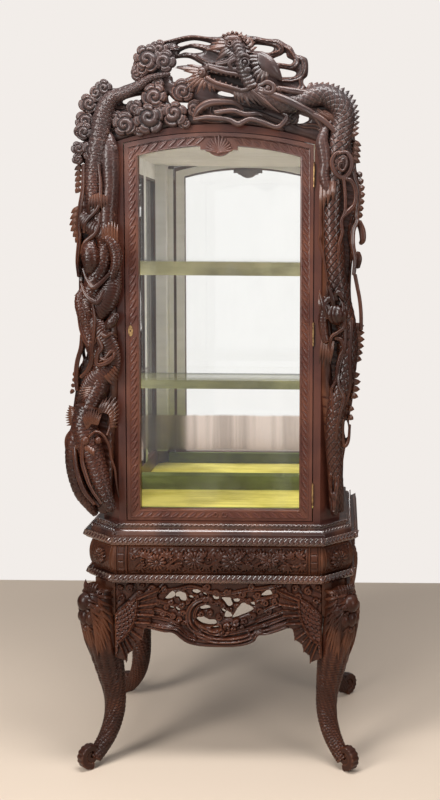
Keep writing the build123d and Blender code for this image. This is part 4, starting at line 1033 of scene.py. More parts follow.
dragon_right = Carving()
ground_board(dragon_right, 1)
fretwork(
    dragon_right,
    [(276, 1618), (338, 1618), (346, 1590), (346, 1560), (352, 1530), (354, 1480), (352, 1440), (342, 1410),
     (344, 1380), (346, 1350), (338, 1320), (335, 1260), (338, 1215), (345, 1180), (350, 1140), (352, 1090),
     (346, 1060), (340, 1035), (344, 1000), (341, 960), (334, 920), (334, 880), (324, 840), (317, 790),
     (309, 720), (306, 672), (288, 672), (280, 760), (276, 900), (275, 1100), (275, 1400)],
    [[(349, 1415), (346, 1405), (350, 1396), (352, 1405)],
     [(324, 915), (321, 890), (326, 866), (331, 880), (330, 905)]],
    [
        [(340, 1560, 5), (350, 1510, 5), (344, 1450, 6), (332, 1400, 6), (338, 1340, 6), (332, 1260, 6)],
        [(306, 1110, 6), (309, 1075, 7), (303, 1050, 6), (306, 1010, 6), (318, 980, 6), (312, 940, 6),
         (302, 880, 5)],
        [(340, 1180, 5), (338, 1120, 6), (330, 1060, 7), (330, 1010, 6), (326, 960, 6), (316, 900, 5),
         (316, 850, 4)],
        [(298, 800, 5), (304, 760, 7), (298, 710, 6), (296, 680, 4)],
        [(286, 880, 4), (290, 820, 6), (286, 750, 5), (296, 700, 4)],
    ],
)
right_rows = [
    (-6, 62, 1, 27), (-9, 62, 0.978, 26), (-15, 62, 0.915, 23), (-22, 62, 0.851, 22), (-22, 62, 0.787, 23),
    (-18, 62, 0.724, 25), (-13, 60, 0.659, 26), (-2, 58, 0.594, 27), (11, 56, 0.543, 26), (20, 56, 0.479, 25),
    (13, 56, 0.400, 25), (-4, 56, 0.334, 25), (-14, 54, 0.255, 23), (-14, 46, 0.175, 20), (-6, 36, 0.096, 16),
    (2, 24, 0.027, 10),
]
post_tube(dragon_right, 1, right_rows, net(20, 8, 3.8), 80, 2)
upper_limb = [(-26, 66, 1.052, 4), (-42, 72, 1.030, 10), (-50, 76, 1, 15), (-46, 76, 0.978, 16),
              (-42, 77, 0.94, 14), (-45, 78, 0.915, 14), (-38, 80, 0.885, 13), (-30, 82, 0.862, 9)]
lower_limb = [(-8, 84, 0.600, 9), (-34, 84, 0.594, 9), (-40, 82, 0.575, 11), (-45, 80, 0.545, 12),
              (-42, 80, 0.510, 11), (-36, 80, 0.486, 9)]
post_tube(dragon_right, 1, upper_limb, scales(9, 7, 1.4), 36)
post_tube(dragon_right, 1, lower_limb, scales(8, 7, 1.5), 36)
knuckle = [(300, -236, 1216, 6), (299, -238, 1206, 19), (300, -239, 1192, 25), (301, -238, 1178, 21),
           (303, -236, 1166, 9)]
tube(dragon_right, knuckle, 1.8, 48, 0.75, lambda along, turn,
     radius: 0.16 * radius * np.abs(np.sin(5 * turn)))
ball(dragon_right, on_post(1, 5, 78, 0.943), (15, 12, 21), 24, 18)
dragon_right_strands = Carving()
for rows, flat, hollow in (
    ([(303, 240, 1592, 4), (322, 242, 1593, 5), (334, 243, 1573, 6), (331, 244, 1548, 6), (314, 244, 1532, 6),
      (293, 243, 1544, 6), (285, 242, 1568, 6), (292, 241, 1588, 5), (306, 240, 1596, 3)], 0.9, 0.25),
    ([(302, 250, 1578, 2), (317, 251, 1583, 3), (322, 251, 1566, 3), (313, 252, 1548, 3), (302, 252, 1555, 3),
      (304, 253, 1568, 3), (311, 253, 1570, 2)], 1, 0),
    ([(314, 246, 1532, 4), (318, 246, 1502, 4), (319, 245, 1452, 4), (310, 246, 1423, 4.5),
      (312, 247, 1395, 4.5), (305, 246, 1366, 4), (302, 244, 1320, 2)], 0.8, 0.3),
    ([(316, 246, 1530, 4), (334, 244, 1523, 5), (345, 240, 1498, 5), (342, 241, 1466, 5), (326, 244, 1447, 6),
      (316, 246, 1436, 3)], 0.8, 0.3),
    ([(336, 240, 1552, 4), (343, 236, 1530, 5), (352, 230, 1502, 6), (350, 226, 1470, 6), (347, 226, 1441, 6),
      (349, 226, 1424, 6), (340, 228, 1402, 6), (339, 230, 1366, 6), (345, 228, 1331, 6),
      (342, 226, 1290, 5)], 0.7, 0.4),
    ([(345, 224, 1290, 5), (351, 224, 1260, 5), (357, 222, 1230, 5), (361, 220, 1194, 5),
      (362, 218, 1150, 5)], 0.7, 0),
    ([(256, 226, 1440, 3), (258, 230, 1394, 5), (256, 228, 1373, 5), (266, 232, 1330, 3.5),
      (276, 234, 1272, 2.5)], 0.9, 0.2),
    ([(353, 212, 1424, 8), (362, 212, 1402, 9), (364, 212, 1378, 8), (358, 210, 1368, 5)], 0.7, 0),
    ([(352, 210, 1346, 6), (355, 212, 1330, 8), (352, 210, 1308, 6)], 0.7, 0),
    ([(283, 240, 1188, 4), (302, 242, 1192, 5), (317, 242, 1179, 5), (318, 242, 1157, 5),
      (302, 242, 1144, 4.5), (288, 240, 1134, 4.5), (282, 238, 1112, 4), (286, 236, 1093, 3)], 0.8, 0.3),
    ([(296, 236, 1130, 4), (312, 238, 1125, 5), (318, 238, 1103, 5), (309, 236, 1081, 5),
      (303, 236, 1055, 4.5), (300, 234, 1023, 4.5), (288, 232, 997, 4), (291, 230, 965, 3.5),
      (292, 226, 930, 2)], 0.8, 0.3),
    ([(320, 238, 1182, 5), (322, 236, 1147, 5), (321, 234, 1109, 5.5), (312, 234, 1074, 5.5),
      (305, 234, 1042, 5), (307, 232, 1010, 5), (319, 230, 978, 5), (311, 228, 940, 5), (304, 224, 908, 4),
      (301, 220, 870, 3)], 0.8, 0.35),
    ([(338, 228, 1180, 5), (336, 230, 1130, 5), (334, 228, 1080, 5), (336, 226, 1030, 5), (330, 224, 985, 5),
      (316, 222, 950, 4)], 0.8, 0.3),
    ([(318, 214, 920, 4), (317, 214, 876, 4.5), (322, 214, 850, 5), (332, 214, 864, 4),
      (335, 214, 905, 3.5)], 0.8, 0),
):
    band(dragon_right_strands, lifted(rows, post_body(1, right_rows)), flat, hollow)
for roots, tips, count, radius, bow in (
    ([(262, 236, 1520), (276, 240, 1520), (290, 240, 1522)],
     [(256, 232, 1440), (270, 238, 1458), (288, 238, 1470)], 4, 5.5, 8),
    ([(283, 240, 1190), (262, 240, 1195)], [(268, 236, 1236), (255, 228, 1250)], 2, 6, 8),
    ([(266, 232, 1128), (278, 234, 1124), (290, 234, 1122)],
     [(256, 224, 1062), (270, 228, 1048), (284, 230, 1062)], 5, 4.4, 3),
    ([(352, 212, 1540), (356, 212, 1500), (352, 212, 1440)],
     [(361, 208, 1546), (369, 208, 1500), (364, 208, 1440)], 7, 8, 1),
    ([(346, 214, 1158), (350, 214, 1120), (346, 214, 1078)],
     [(369, 210, 1160), (371, 208, 1122), (364, 208, 1072)], 6, 9, 1),
    ([(342, 212, 1032), (344, 212, 1008), (340, 212, 982)],
     [(360, 208, 1036), (362, 206, 1008), (356, 206, 976)], 4, 8, 1),
    ([(334, 212, 948), (334, 212, 926)], [(346, 208, 944), (344, 208, 918)], 2, 7, 1),
    ([(340, 210, 1620), (338, 212, 1580)], [(358, 206, 1614), (356, 206, 1572)], 4, 8, 1),
):
    fan(dragon_right_strands, roots, tips, count, radius, bow)
for talon in (
    [(292, 236, 1196, 6), (290, 246, 1226, 7), (279, 248, 1262, 3)],
    [(290, 240, 1226, 6), (302, 250, 1246, 7), (315, 250, 1232, 6), (318, 244, 1222, 2)],
    [(296, 240, 1180, 6), (312, 248, 1190, 6), (317, 250, 1212, 5), (306, 246, 1232, 2)],
    [(276, 242, 1180, 8), (268, 246, 1210, 8), (256, 242, 1246, 3)],
):
    band(dragon_right_strands, talon, 0.9, 0)
dragon_right_strands.piece("dragon_right_strands", "case", "carving_wood")
dragon_right.piece("dragon_right_dressed", "case", "carving_wood", ["dragon_right"])

dragon_left = Carving()
ground_board(dragon_left, -1)
fretwork(
    dragon_left,
    [(-276, 1618), (-344, 1618), (-352, 1590), (-352, 1565), (-344, 1545), (-350, 1500), (-352, 1450),
     (-358, 1410), (-356, 1370), (-362, 1330), (-358, 1290), (-358, 1240), (-354, 1190), (-354, 1110),
     (-350, 1068), (-362, 1040), (-368, 1000), (-374, 960), (-380, 920), (-384, 880), (-382, 830),
     (-378, 785), (-368, 745), (-352, 706), (-325, 676), (-288, 672), (-278, 760), (-276, 900), (-275, 1100),
     (-275, 1400)],
    [[(-342, 1108), (-339, 1088), (-343, 1070), (-346, 1090)],
     [(-352, 1563), (-341, 1566), (-341, 1550), (-347, 1546)],
     [(-372, 872), (-369, 850), (-372, 832), (-376, 850)]],
    [
        [(-350, 1380, 5), (-352, 1330, 6), (-350, 1270, 5), (-354, 1200, 5), (-348, 1150, 5)],
        [(-345, 1133, 5), (-348, 1100, 6), (-358, 1064, 6), (-363, 1026, 7), (-361, 980, 6), (-366, 940, 6)],
        [(-362, 860, 5), (-364, 810, 7), (-358, 760, 7), (-340, 720, 6), (-312, 690, 5)],
        [(-320, 840, 5), (-330, 790, 7), (-326, 740, 7), (-308, 700, 5)],
        [(-350, 850, 4), (-350, 800, 6), (-344, 750, 6), (-326, 706, 5)],
    ],
)
left_rows = [
    (-11, 62, 1, 25), (-7, 62, 0.976, 25), (1, 62, 0.926, 24), (3, 62, 0.871, 23), (-1, 62, 0.824, 23),
    (-20, 62, 0.778, 24), (-27, 62, 0.732, 25), (-16, 62, 0.681, 25), (4, 62, 0.634, 25), (18, 62, 0.583, 24),
    (20, 62, 0.517, 23), (4, 62, 0.465, 24), (-9, 62, 0.414, 24), (-5, 64, 0.363, 26), (15, 66, 0.317, 28),
]
left_head_rows = [(22, 76, 0.312, 30), (30, 78, 0.260, 33), (18, 82, 0.209, 32), (-2, 88, 0.148, 27),
                  (-22, 96, 0.091, 20), (-42, 102, 0.045, 12)]
left_coil_rows = [(42, 72, 0.265, 20), (58, 72, 0.209, 22), (60, 70, 0.148, 20), (46, 66, 0.086, 18),
                  (25, 58, 0.045, 13), (12, 48, 0.019, 8)]
post_tube(dragon_left, -1, left_rows, scales(7, 10, 2.6), 56)
left_limb = [(-22, 50, 1.035, 5), (-34, 56, 1, 17), (-37, 60, 0.95, 23), (-38, 62, 0.88, 21),
             (-32, 64, 0.82, 24), (-30, 66, 0.76, 22), (-26, 60, 0.72, 12)]
post_tube(dragon_left, -1, left_limb, scales(8, 9, 1.6), 44)
post_tube(dragon_left, -1, left_head_rows, scales(9, 12, 3), 64, 2, 0.9)
post_tube(dragon_left, -1, left_coil_rows, scales(12, 7, 2.4), 44)
dragon_left_limbs = Carving()
for thigh in (
    [(-260, -222, 1318, 12), (-266, -226, 1280, 22), (-276, -230, 1240, 30), (-300, -230, 1200, 30),
     (-336, -226, 1168, 12)],
    [(-332, -230, 1190, 10), (-306, -232, 1150, 26), (-282, -230, 1108, 28), (-268, -226, 1062, 20),
     (-266, -224, 1030, 10)],
    [(-270, -226, 1060, 10), (-290, -232, 1036, 24), (-318, -232, 1010, 26), (-346, -226, 976, 14),
     (-356, -222, 952, 6)],
    [(-346, -228, 1440, 10), (-322, -232, 1412, 22), (-290, -232, 1390, 24), (-268, -228, 1366, 14),
     (-262, -224, 1340, 7)],
):
    tube(dragon_left_limbs, thigh, 1.8, 60, 0.5, rings(7, 2.8, 0.35))
for x, z, size, start, hand, lobes in (
    (-311, 1591, 25, 150, -1, 4), (-333, 1640, 19, 60, 1, 4), (-290, 1638, 18, 100, 1, 4),
    (-347, 1600, 15, 120, 1, 4), (-281, 1574, 17, 60, -1, 4), (-350, 1572, 12, 200, -1, 3),
    (-268, 1600, 13, 0, 1, 3),
):
    cloud(crest_clouds, x, 228, z, size, start, hand, lobes)
for rows, flat, hollow in (
    ([(-296, 240, 1560, 3), (-291, 244, 1504, 4), (-297, 246, 1454, 4.5), (-328, 244, 1418, 5),
      (-335, 238, 1390, 3)], 0.8, 0.2),
    ([(-294, 240, 1440, 3), (-297, 244, 1410, 4), (-306, 246, 1388, 5), (-332, 244, 1365, 5),
      (-343, 238, 1338, 3)], 0.8, 0.2),
    ([(-262, 236, 1530, 3), (-268, 238, 1486, 3.5), (-266, 238, 1454, 3.5), (-259, 234, 1433, 3)], 0.8, 0.2),
    ([(-336, 232, 1560, 4), (-338, 234, 1500, 5), (-344, 234, 1460, 6), (-350, 230, 1420, 6),
      (-350, 228, 1370, 6), (-356, 224, 1320, 5), (-354, 222, 1280, 4)], 0.8, 0.35),
    ([(-340, 232, 1300, 4), (-328, 240, 1272, 5), (-311, 246, 1254, 7), (-290, 244, 1268, 6),
      (-270, 236, 1290, 5)], 0.8, 0.2),
    ([(-345, 232, 1262, 4), (-330, 240, 1232, 5), (-303, 246, 1216, 7), (-288, 242, 1240, 6),
      (-276, 236, 1258, 4), (-264, 234, 1232, 5), (-262, 234, 1214, 5), (-290, 238, 1208, 4)], 0.8, 0.2),
    ([(-314, 246, 1212, 3.5), (-309, 248, 1174, 4), (-312, 248, 1133, 4), (-318, 244, 1080, 3)], 0.9, 0.2),
    ([(-303, 244, 1128, 4), (-292, 247, 1103, 5), (-303, 247, 1084, 5), (-304, 247, 1060, 5),
      (-284, 247, 1062, 6), (-266, 243, 1074, 5), (-263, 238, 1090, 3)], 0.9, 0.2),
    ([(-354, 228, 1210, 5), (-351, 232, 1180, 5.5), (-344, 236, 1143, 6), (-330, 238, 1112, 6),
      (-312, 238, 1116, 6), (-308, 238, 1159, 5), (-311, 238, 1203, 4)], 0.7, 0.35),
    ([(-320, 238, 1116, 5), (-318, 236, 1074, 6), (-331, 234, 1042, 6), (-350, 228, 1024, 5)], 0.7, 0.3),
    ([(-345, 232, 1133, 5), (-348, 230, 1100, 6), (-359, 226, 1064, 6), (-364, 222, 1026, 6),
      (-362, 222, 990, 5)], 0.7, 0.3),
    ([(-306, 238, 1146, 4), (-293, 242, 1136, 5), (-281, 244, 1130, 5), (-268, 238, 1138, 5),
      (-258, 230, 1128, 3)], 0.9, 0),
    ([(-294, 238, 1110, 3), (-300, 244, 1096, 4), (-303, 242, 1080, 2)], 1, 0),
    ([(-260, 232, 1100, 5), (-272, 240, 1090, 5.5), (-284, 244, 1076, 4), (-300, 240, 1066, 2.5)], 0.9, 0),
    ([(-298, 242, 1076, 3), (-282, 244, 1070, 5), (-266, 240, 1078, 5), (-258, 232, 1090, 4)], 0.9, 0),
    ([(-322, 258, 878, 3), (-306, 261, 890, 3.6), (-288, 258, 880, 3.6), (-275, 252, 852, 3.2),
      (-270, 250, 820, 3), (-262, 246, 790, 2.8), (-259, 242, 752, 2.4), (-254, 236, 716, 1.6)], 0.9, 0.2),
    ([(-372, 232, 892, 4), (-388, 228, 868, 4.5), (-388, 228, 838, 4.5), (-379, 230, 796, 4),
      (-378, 228, 762, 3)], 0.9, 0),
    ([(-366, 244, 866, 4), (-362, 252, 830, 6), (-356, 258, 790, 6), (-338, 264, 742, 6),
      (-310, 268, 706, 4)], 0.8, 0.3),
    ([(-336, 262, 874, 4), (-340, 268, 820, 5), (-330, 270, 780, 5), (-316, 272, 745, 4),
      (-292, 272, 708, 3)], 0.8, 0.3),
    ([(-300, 252, 943, 4), (-273, 246, 937, 5), (-272, 248, 905, 4), (-280, 252, 880, 3)], 0.8, 0),
):
    band(dragon_left_limbs, lifted(rows, post_body(-1, left_rows), post_body(-1, left_head_rows)),
         flat, hollow)
for roots, tips, count, radius, bow in (
    ([(-284, 248, 1376), (-268, 250, 1380), (-253, 242, 1368)],
     [(-287, 240, 1416), (-270, 240, 1426), (-252, 234, 1412)], 6, 3.8, 5),
    ([(-316, 240, 1480), (-296, 246, 1486), (-278, 242, 1480)],
     [(-322, 238, 1442), (-298, 240, 1440), (-272, 238, 1446)], 7, 3.6, 5),
    ([(-340, 236, 1240), (-330, 240, 1220), (-322, 240, 1196)],
     [(-364, 228, 1232), (-358, 230, 1208), (-348, 232, 1180)], 6, 3.8, 4),
    ([(-284, 244, 1030), (-272, 244, 1040), (-264, 238, 1052)],
     [(-262, 236, 1002), (-254, 232, 1016), (-250, 230, 1034)], 5, 3.6, 4),
    ([(-346, 216, 1556), (-352, 216, 1500)], [(-364, 210, 1548), (-362, 210, 1490)], 5, 6.5, 1),
    ([(-352, 216, 1450), (-358, 216, 1410), (-352, 216, 1376)],
     [(-374, 210, 1440), (-378, 210, 1404), (-364, 210, 1366)], 6, 8, 1),
    ([(-352, 236, 912), (-356, 240, 930), (-366, 238, 944)],
     [(-388, 228, 900), (-391, 226, 926), (-382, 226, 952)], 9, 4.4, 6),
    ([(-326, 262, 900), (-318, 262, 910), (-304, 258, 908)],
     [(-342, 258, 940), (-318, 256, 952), (-292, 250, 938)], 9, 3.6, 5),
    ([(-300, 252, 937), (-284, 254, 938), (-273, 252, 930), (-270, 250, 902)],
     [(-289, 246, 970), (-271, 244, 980), (-255, 238, 970), (-251, 232, 938), (-254, 232, 900)], 11, 3.8, 5),
    ([(-318, 240, 985), (-300, 240, 1000), (-290, 238, 1020)],
     [(-352, 238, 960), (-352, 238, 990), (-336, 236, 1024)], 10, 3.6, 3),
    ([(-356, 246, 858), (-334, 262, 860), (-314, 266, 846)],
     [(-360, 250, 842), (-334, 268, 842), (-308, 272, 830)], 9, 4.2, 3),
    ([(-372, 222, 990), (-366, 222, 1030)], [(-380, 216, 980), (-372, 216, 1036)], 4, 5, 1),
):
    fan(dragon_left_limbs, roots, tips, count, radius, bow)
for x, ahead, z, radius in ((-331, 268, 868, 10), (-300, 262, 868, 8), (-352, 252, 862, 7)):
    ball(dragon_left_limbs, (x, -ahead, z), (radius, 0.7 * radius, 1.15 * radius), 20, 14)
for knee in (
    [(-320, -234, 1372, 10), (-320, -240, 1344, 21), (-318, -240, 1318, 22), (-322, -236, 1292, 12)],
    [(-294, -236, 1364, 8), (-276, -242, 1376, 13), (-258, -240, 1352, 15), (-254, -240, 1316, 14),
     (-266, -238, 1280, 9)],
    [(-286, -236, 1152, 8), (-270, -240, 1164, 13), (-256, -238, 1184, 10)],
    [(-330, -238, 1156, 8), (-342, -236, 1186, 14), (-348, -232, 1222, 14), (-340, -232, 1250, 8)],
):
    tube(dragon_left_limbs, knee, 1.9, 48, 0.9, scales(7, 9, 2.2))
dragon_left_limbs.piece("dragon_left_limbs", "case", "carving_wood")
crest_clouds.piece("crest_clouds", "case", "carving_wood")
dragon_left.piece("dragon_left_dressed", "case", "carving_wood", ["dragon_left"])

# ---- Legs ----

leg_shift = 92.0
stand_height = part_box("lower_board")[0].z / MM
apron_front_face = -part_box("apron_front")[0].y / MM
apron_side_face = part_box("apron_right")[1].x / MM


def on_leg(out, across, share):
    """Point beside the front right leg's centre line, up a share of the stand."""
    slant = across * math.sqrt(0.5)
    return out + slant, -(out - leg_shift) + slant, share * stand_height


def leg_skin(along, turn, radius):
    """Beard flutes under the head that fade into the trunk's fine wrinkles."""
    flute = np.clip((300 - along) / 110, 0, 1) * np.clip((along - 30) / 60, 0, 1)
    wrinkle = np.clip((along - 130) / 70, 0, 1)
    wave = along / 8 + 0.30 * np.sin(5 * turn) + 0.18 * np.sin(13 * turn + 0.02 * along)
    folds = 2.4 * np.abs(np.sin(math.pi * wave)) ** 0.7 + 0.7 * np.sin(16 * turn + along / 5)
    return 3.4 * flute * np.abs(np.sin(6 * turn)) * (np.cos(turn) > -0.5) + wrinkle * folds


half = math.sqrt(0.5)
leg = Carving()
block, corner_cut, block_drop = 58, 34, 92
block_corners = (block, block), (block, 0), (corner_cut, 0), (0, corner_cut), (0, block)
block_plan = [(apron_side_face - inwards, back - apron_front_face) for inwards, back in block_corners]
prism(leg, block_plan, stand_height - block_drop, stand_height)
trunk_rows = [
    (308, 0.955, 35), (314, 0.900, 40), (314, 0.840, 41), (309, 0.753, 41), (302, 0.663, 40),
    (294, 0.572, 37), (287, 0.472, 32), (281, 0.372, 27), (280, 0.291, 25), (285, 0.217, 23),
    (296, 0.149, 21), (311, 0.094, 19), (326, 0.050, 17),
]
diagonal = (1, -1, 0)
tube(leg, [(*on_leg(out, 0, share), radius) for out, share, radius in trunk_rows], 2.0, 64, 1.0, leg_skin,
     diagonal, 0.3)


def fluted_drum(along, turn, radius):
    """Square-edged section with flutes over its rim."""
    square = (np.abs(np.cos(turn)) ** 7 + np.abs(np.sin(turn)) ** 7) ** (-1 / 7) - 1
    flutes = 0.22 * (np.abs(np.sin(math.pi * along / 10)) - 0.6)
    return radius * (square + flutes * (np.abs(np.sin(turn)) > 0.6))


roll_out, roll_radius = 335.0, 36.0
coil = scroll((0, 0), roll_radius, -100, 1.5, 1, 0.25, 0.10)
tube(leg, [(roll_out + u * half, -(roll_out - leg_shift) - u * half, roll_radius + v, r) for u, v, r in coil],
     1.6, 36, 1.5, fluted_drum, (1, 1, 0), 0.4)


def on_skin(turn, share, lift):
    """Point over the trunk's skin, turn degrees round from the leg's outer corner."""
    outs, shares, radii = zip(*trunk_rows[::-1])
    out = np.interp(share, shares, outs)
    reach = np.interp(share, shares, radii) + lift
    angle = math.radians(turn)
    return on_leg(out + reach * math.cos(angle) * half, reach * math.sin(angle), share)


def lock(turns, shares, radius, lift):
    """Lock of hair lying on the skin between two places, thick in its middle."""
    stations = []
    for t in np.linspace(0, 1, 6):
        swell = radius * (0.55 + 0.45 * math.sin(math.pi * t)) * (1 - 0.85 * t**3)
        turn = turns[0] + (turns[1] - turns[0]) * t**1.4
        stations.append((*on_skin(turn, shares[0] + (shares[1] - shares[0]) * t, lift), swell))
    tube(leg, stations, 3.0, 8)


ball(leg, on_skin(0, 0.895, -5), (23, 23, 25), 32, 24)
ball(leg, on_skin(0, 0.815, -2), (16, 16, 21), 28, 20)
ball(leg, on_skin(0, 0.760, 0), (11, 11, 10), 24, 16)
for side in (-1, 1):
    ball(leg, on_skin(side * 30, 0.885, 1), (11, 11, 10), 24, 16)
    ball(leg, on_skin(side * 27, 0.815, -1), (14, 14, 18), 24, 16)
    ball(leg, on_skin(side * 52, 0.865, -2), (13, 13, 15), 24, 16)
    for turns, shares, radius, lift in (
        ((6, 56), (0.925, 0.900), 5.5, 5), ((12, 62), (0.945, 0.935), 5.0, 5),
        ((14, 44), (0.862, 0.845), 4.5, 3),
        ((10, 30), (0.775, 0.750), 4.5, 4), ((16, 20), (0.770, 0.655), 4.5, 5),
        ((8, 10), (0.752, 0.640), 4.0, 4),
    ):
        lock((side * turns[0], side * turns[1]), shares, radius, lift)
    for place in np.linspace(0, 1, 11):
        turns = side * (40 + 22 * math.sin(math.pi * place)), side * (150 - 112 * place)
        shares = 0.955 - 0.165 * place, 0.955 - 0.36 * place - 0.05 * math.sin(3 * place)
        lock(turns, shares, 5.6, 3.0)
    for place in np.linspace(0, 1, 8):
        turns = side * (32 + 10 * place), side * (96 - 70 * place)
        shares = 0.900 - 0.115 * place, 0.850 - 0.26 * place
        lock(turns, shares, 5.0, 6.0)
    for turn, share, size in ((34, 0.835, 12), (60, 0.945, 13), (18, 0.965, 11)):
        swirl = scroll((0, 0), size, 90, 1.3, side, 0.28)
        tube(leg, [(*on_skin(side * turn + 1.4 * u, share + v / stand_height, 5), r) for u, v,
                   r in swirl], 1.5, 10)
for place in np.linspace(-1, 1, 9):
    lock((20 * place, 30 * place), (0.745, 0.60 - 0.04 * math.cos(3 * place)), 4.2, 2.0)
for place in np.linspace(-1, 1, 8):
    lock((32 * place, 46 * place), (0.945, 0.995), 5.5, 4.0)
for end, across_y in (("front", False), ("rear", True)):
    for side, across_x in (("right", False), ("left", True)):
        dressed = leg.mirrored(across_x, across_y)
        dressed.piece(f"leg_{end}_{side}_dressed", "case", "leg_wood", [f"leg_{end}_{side}"])

# ---- Aprons and wings ----


def facing_side(origin, direction, outward):
    """Puts a plate's (u, v, h) on an upright face: u along direction, h outward from origin."""
    return lambda u, v, h: np.column_stack([
        origin[0] + direction[0] * u + outward[0] * h,
        origin[1] + direction[1] * u + outward[1] * h,
        v,
    ])


apron_rim = [
    (-175, 368), (-144, 360), (-120, 358), (-103, 345), (-82, 331), (-46, 323), (16, 321), (62, 325),
    (92, 337), (104, 355), (130, 356), (161, 366), (175, 372),
]
apron_half, apron_foot, apron_shoulder, apron_head = 267, 321, 380, 497.5
apron_end = [(apron_half, apron_shoulder), (apron_half, apron_head)]
apron_outline = [(-u, v) for u, v in apron_end[::-1]]
apron_outline += [*[tuple(p) for p in smooth_path(apron_rim, 4.0)[0]], *apron_end]
apron_openings = [rounded(points, 2.5) for points in (
    [(-141, 447), (-132, 459), (-119, 471), (-113, 462), (-117, 452), (-128, 446)],
    [(-113, 452), (-110, 465), (-98, 468), (-87, 465), (-83, 452), (-88, 441), (-100, 443), (-105, 451)],
    [(-79, 457), (-65, 456), (-66, 449), (-76, 450)],
    [(-69, 471), (-56, 476), (-46, 469), (-56, 461), (-68, 464)],
    [(-41, 466), (-29, 461), (-31, 456), (-41, 460)],
    [(-17, 457), (-1, 455), (-2, 446), (-13, 446)],
    [(5, 451), (18, 453), (31, 451), (35, 433), (24, 427), (14, 439)],
    [(37, 448), (53, 450), (51, 440), (40, 439)],
    [(108, 459), (129, 475), (138, 461), (120, 456)],
    [(-50, 428), (-38, 432), (-26, 431), (-23, 423), (-46, 419)],
    [(4, 423), (20, 420), (13, 412)],
    [(34, 397), (42, 414), (51, 430), (65, 439), (88, 426), (84, 416), (58, 404)],
    [(14, 399), (21, 420), (32, 410), (34, 400)],
    [(80, 441), (92, 443), (92, 431), (84, 433)],
    [(-60, 396), (-45, 403), (-27, 395), (-9, 393), (-7, 381), (-24, 378), (-46, 383)],
    [(-19, 375), (-1, 378), (0, 373), (-14, 370)],
    [(-127, 429), (-117, 426), (-119, 421), (-128, 424)],
    [(-111, 427), (-101, 420), (-105, 414), (-113, 421)],
)]
wave = [(175, 386, 9), (94, 356, 9), (27, 340, 9), (-30, 347, 9), (-66, 370, 8), (-80, 401, 8), (-70, 432, 7),
        (-40, 450, 7), (-6, 446, 6), (16, 428, 5), (20, 414, 4)]
apron_strokes = [smooth_path(path, 4.0)[0] for path in (
    wave,
    [(175, 404, 6), (94, 376, 6), (27, 360, 6), (-24, 364, 6), (-52, 384, 6), (-62, 408, 5), (-52, 430, 5),
     (-34, 438, 4)],
    [(-180, 384, 6), (-140, 376, 6), (-106, 372, 6), (-84, 354, 5), (-60, 344, 4)],
    [(-180, 404, 6), (-136, 396, 6), (-104, 384, 5)],
    [(-180, 424, 5), (-150, 420, 6), (-120, 404, 5)],
    [(180, 426, 6), (140, 408, 6), (100, 392, 5)],
    [(180, 446, 6), (140, 432, 6), (104, 412, 5)],
    [(150, 462, 6), (104, 450, 6), (90, 442, 5), (60, 452, 5), (40, 462, 4)],
    [(-150, 470, 6), (-110, 474, 7), (-70, 482, 7), (-20, 468, 6), (20, 464, 6), (70, 474, 6), (120, 480, 7),
     (160, 490, 6)],
    [(-170, 452, 5), (-146, 442, 6), (-128, 436, 5), (-104, 432, 4)],
    [(-92, 470, 5), (-78, 452, 5), (-82, 436, 4)],
    [(-30, 476, 4), (-28, 458, 5), (-20, 440, 4), (-4, 436, 4)],
)]
apron_scrolls = [
    scroll((u, v), size, start, 1.2, hand, 0.34)
    for u, v, size, start, hand in (
        (-46, 411, 11, 200, 1), (-24, 413, 11, 60, -1), (2, 402, 12, 100, 1), (28, 422, 11, 180, -1),
        (13, 432, 11, 20, 1), (48, 434, 11, 120, 1), (28, 443, 10, 200, -1), (76, 445, 12, 60, -1),
        (-6, 464, 13, 150, -1), (-33, 452, 12, 200, 1), (-60, 455, 11, 0, 1), (-122, 442, 11, 80, 1),
        (-96, 434, 11, 90, -1), (-78, 444, 11, 30, 1), (22, 380, 12, 200, -1), (6, 366, 9, 0, 1),
        (46, 388, 12, 60, 1), (67, 392, 11, 200, -1), (88, 404, 12, 20, 1), (-134, 428, 11, 60, 1),
        (-92, 412, 10, 0, 1), (-142, 413, 11, 200, 1), (-120, 404, 11, 90, -1), (-103, 395, 10, 0, 1),
        (-90, 388, 9, 200, 1), (38, 372, 9, 0, 1), (62, 377, 9, 90, 1), (106, 418, 12, 0, 1),
        (120, 440, 13, 180, -1), (100, 462, 13, 200, 1), (60, 464, 13, 30, -1), (-138, 474, 13, 90, 1),
        (-94, 476, 11, 0, 1), (-30, 484, 13, 180, 1), (22, 470, 13, 20, -1), (86, 484, 12, 90, 1),
        (128, 418, 11, 60, -1), (146, 444, 12, 90, 1), (-158, 444, 12, 200, 1), (-172, 476, 14, 30, 1),
        (-202, 462, 13, 150, -1), (-228, 478, 14, 60, 1), (-250, 452, 13, 200, -1), (-196, 488, 9, 200, 1),
        (-232, 436, 10, 90, 1), (-254, 482, 10, 0, -1), (168, 470, 14, 150, -1), (198, 482, 12, 30, 1),
        (206, 458, 13, 200, -1), (232, 474, 14, 90, 1), (252, 450, 12, 0, -1), (230, 440, 9, 150, 1),
        (256, 484, 9, 60, -1),
    )
]


def apron_inside(u, v):
    return pierced(u, v, apron_outline, apron_openings)


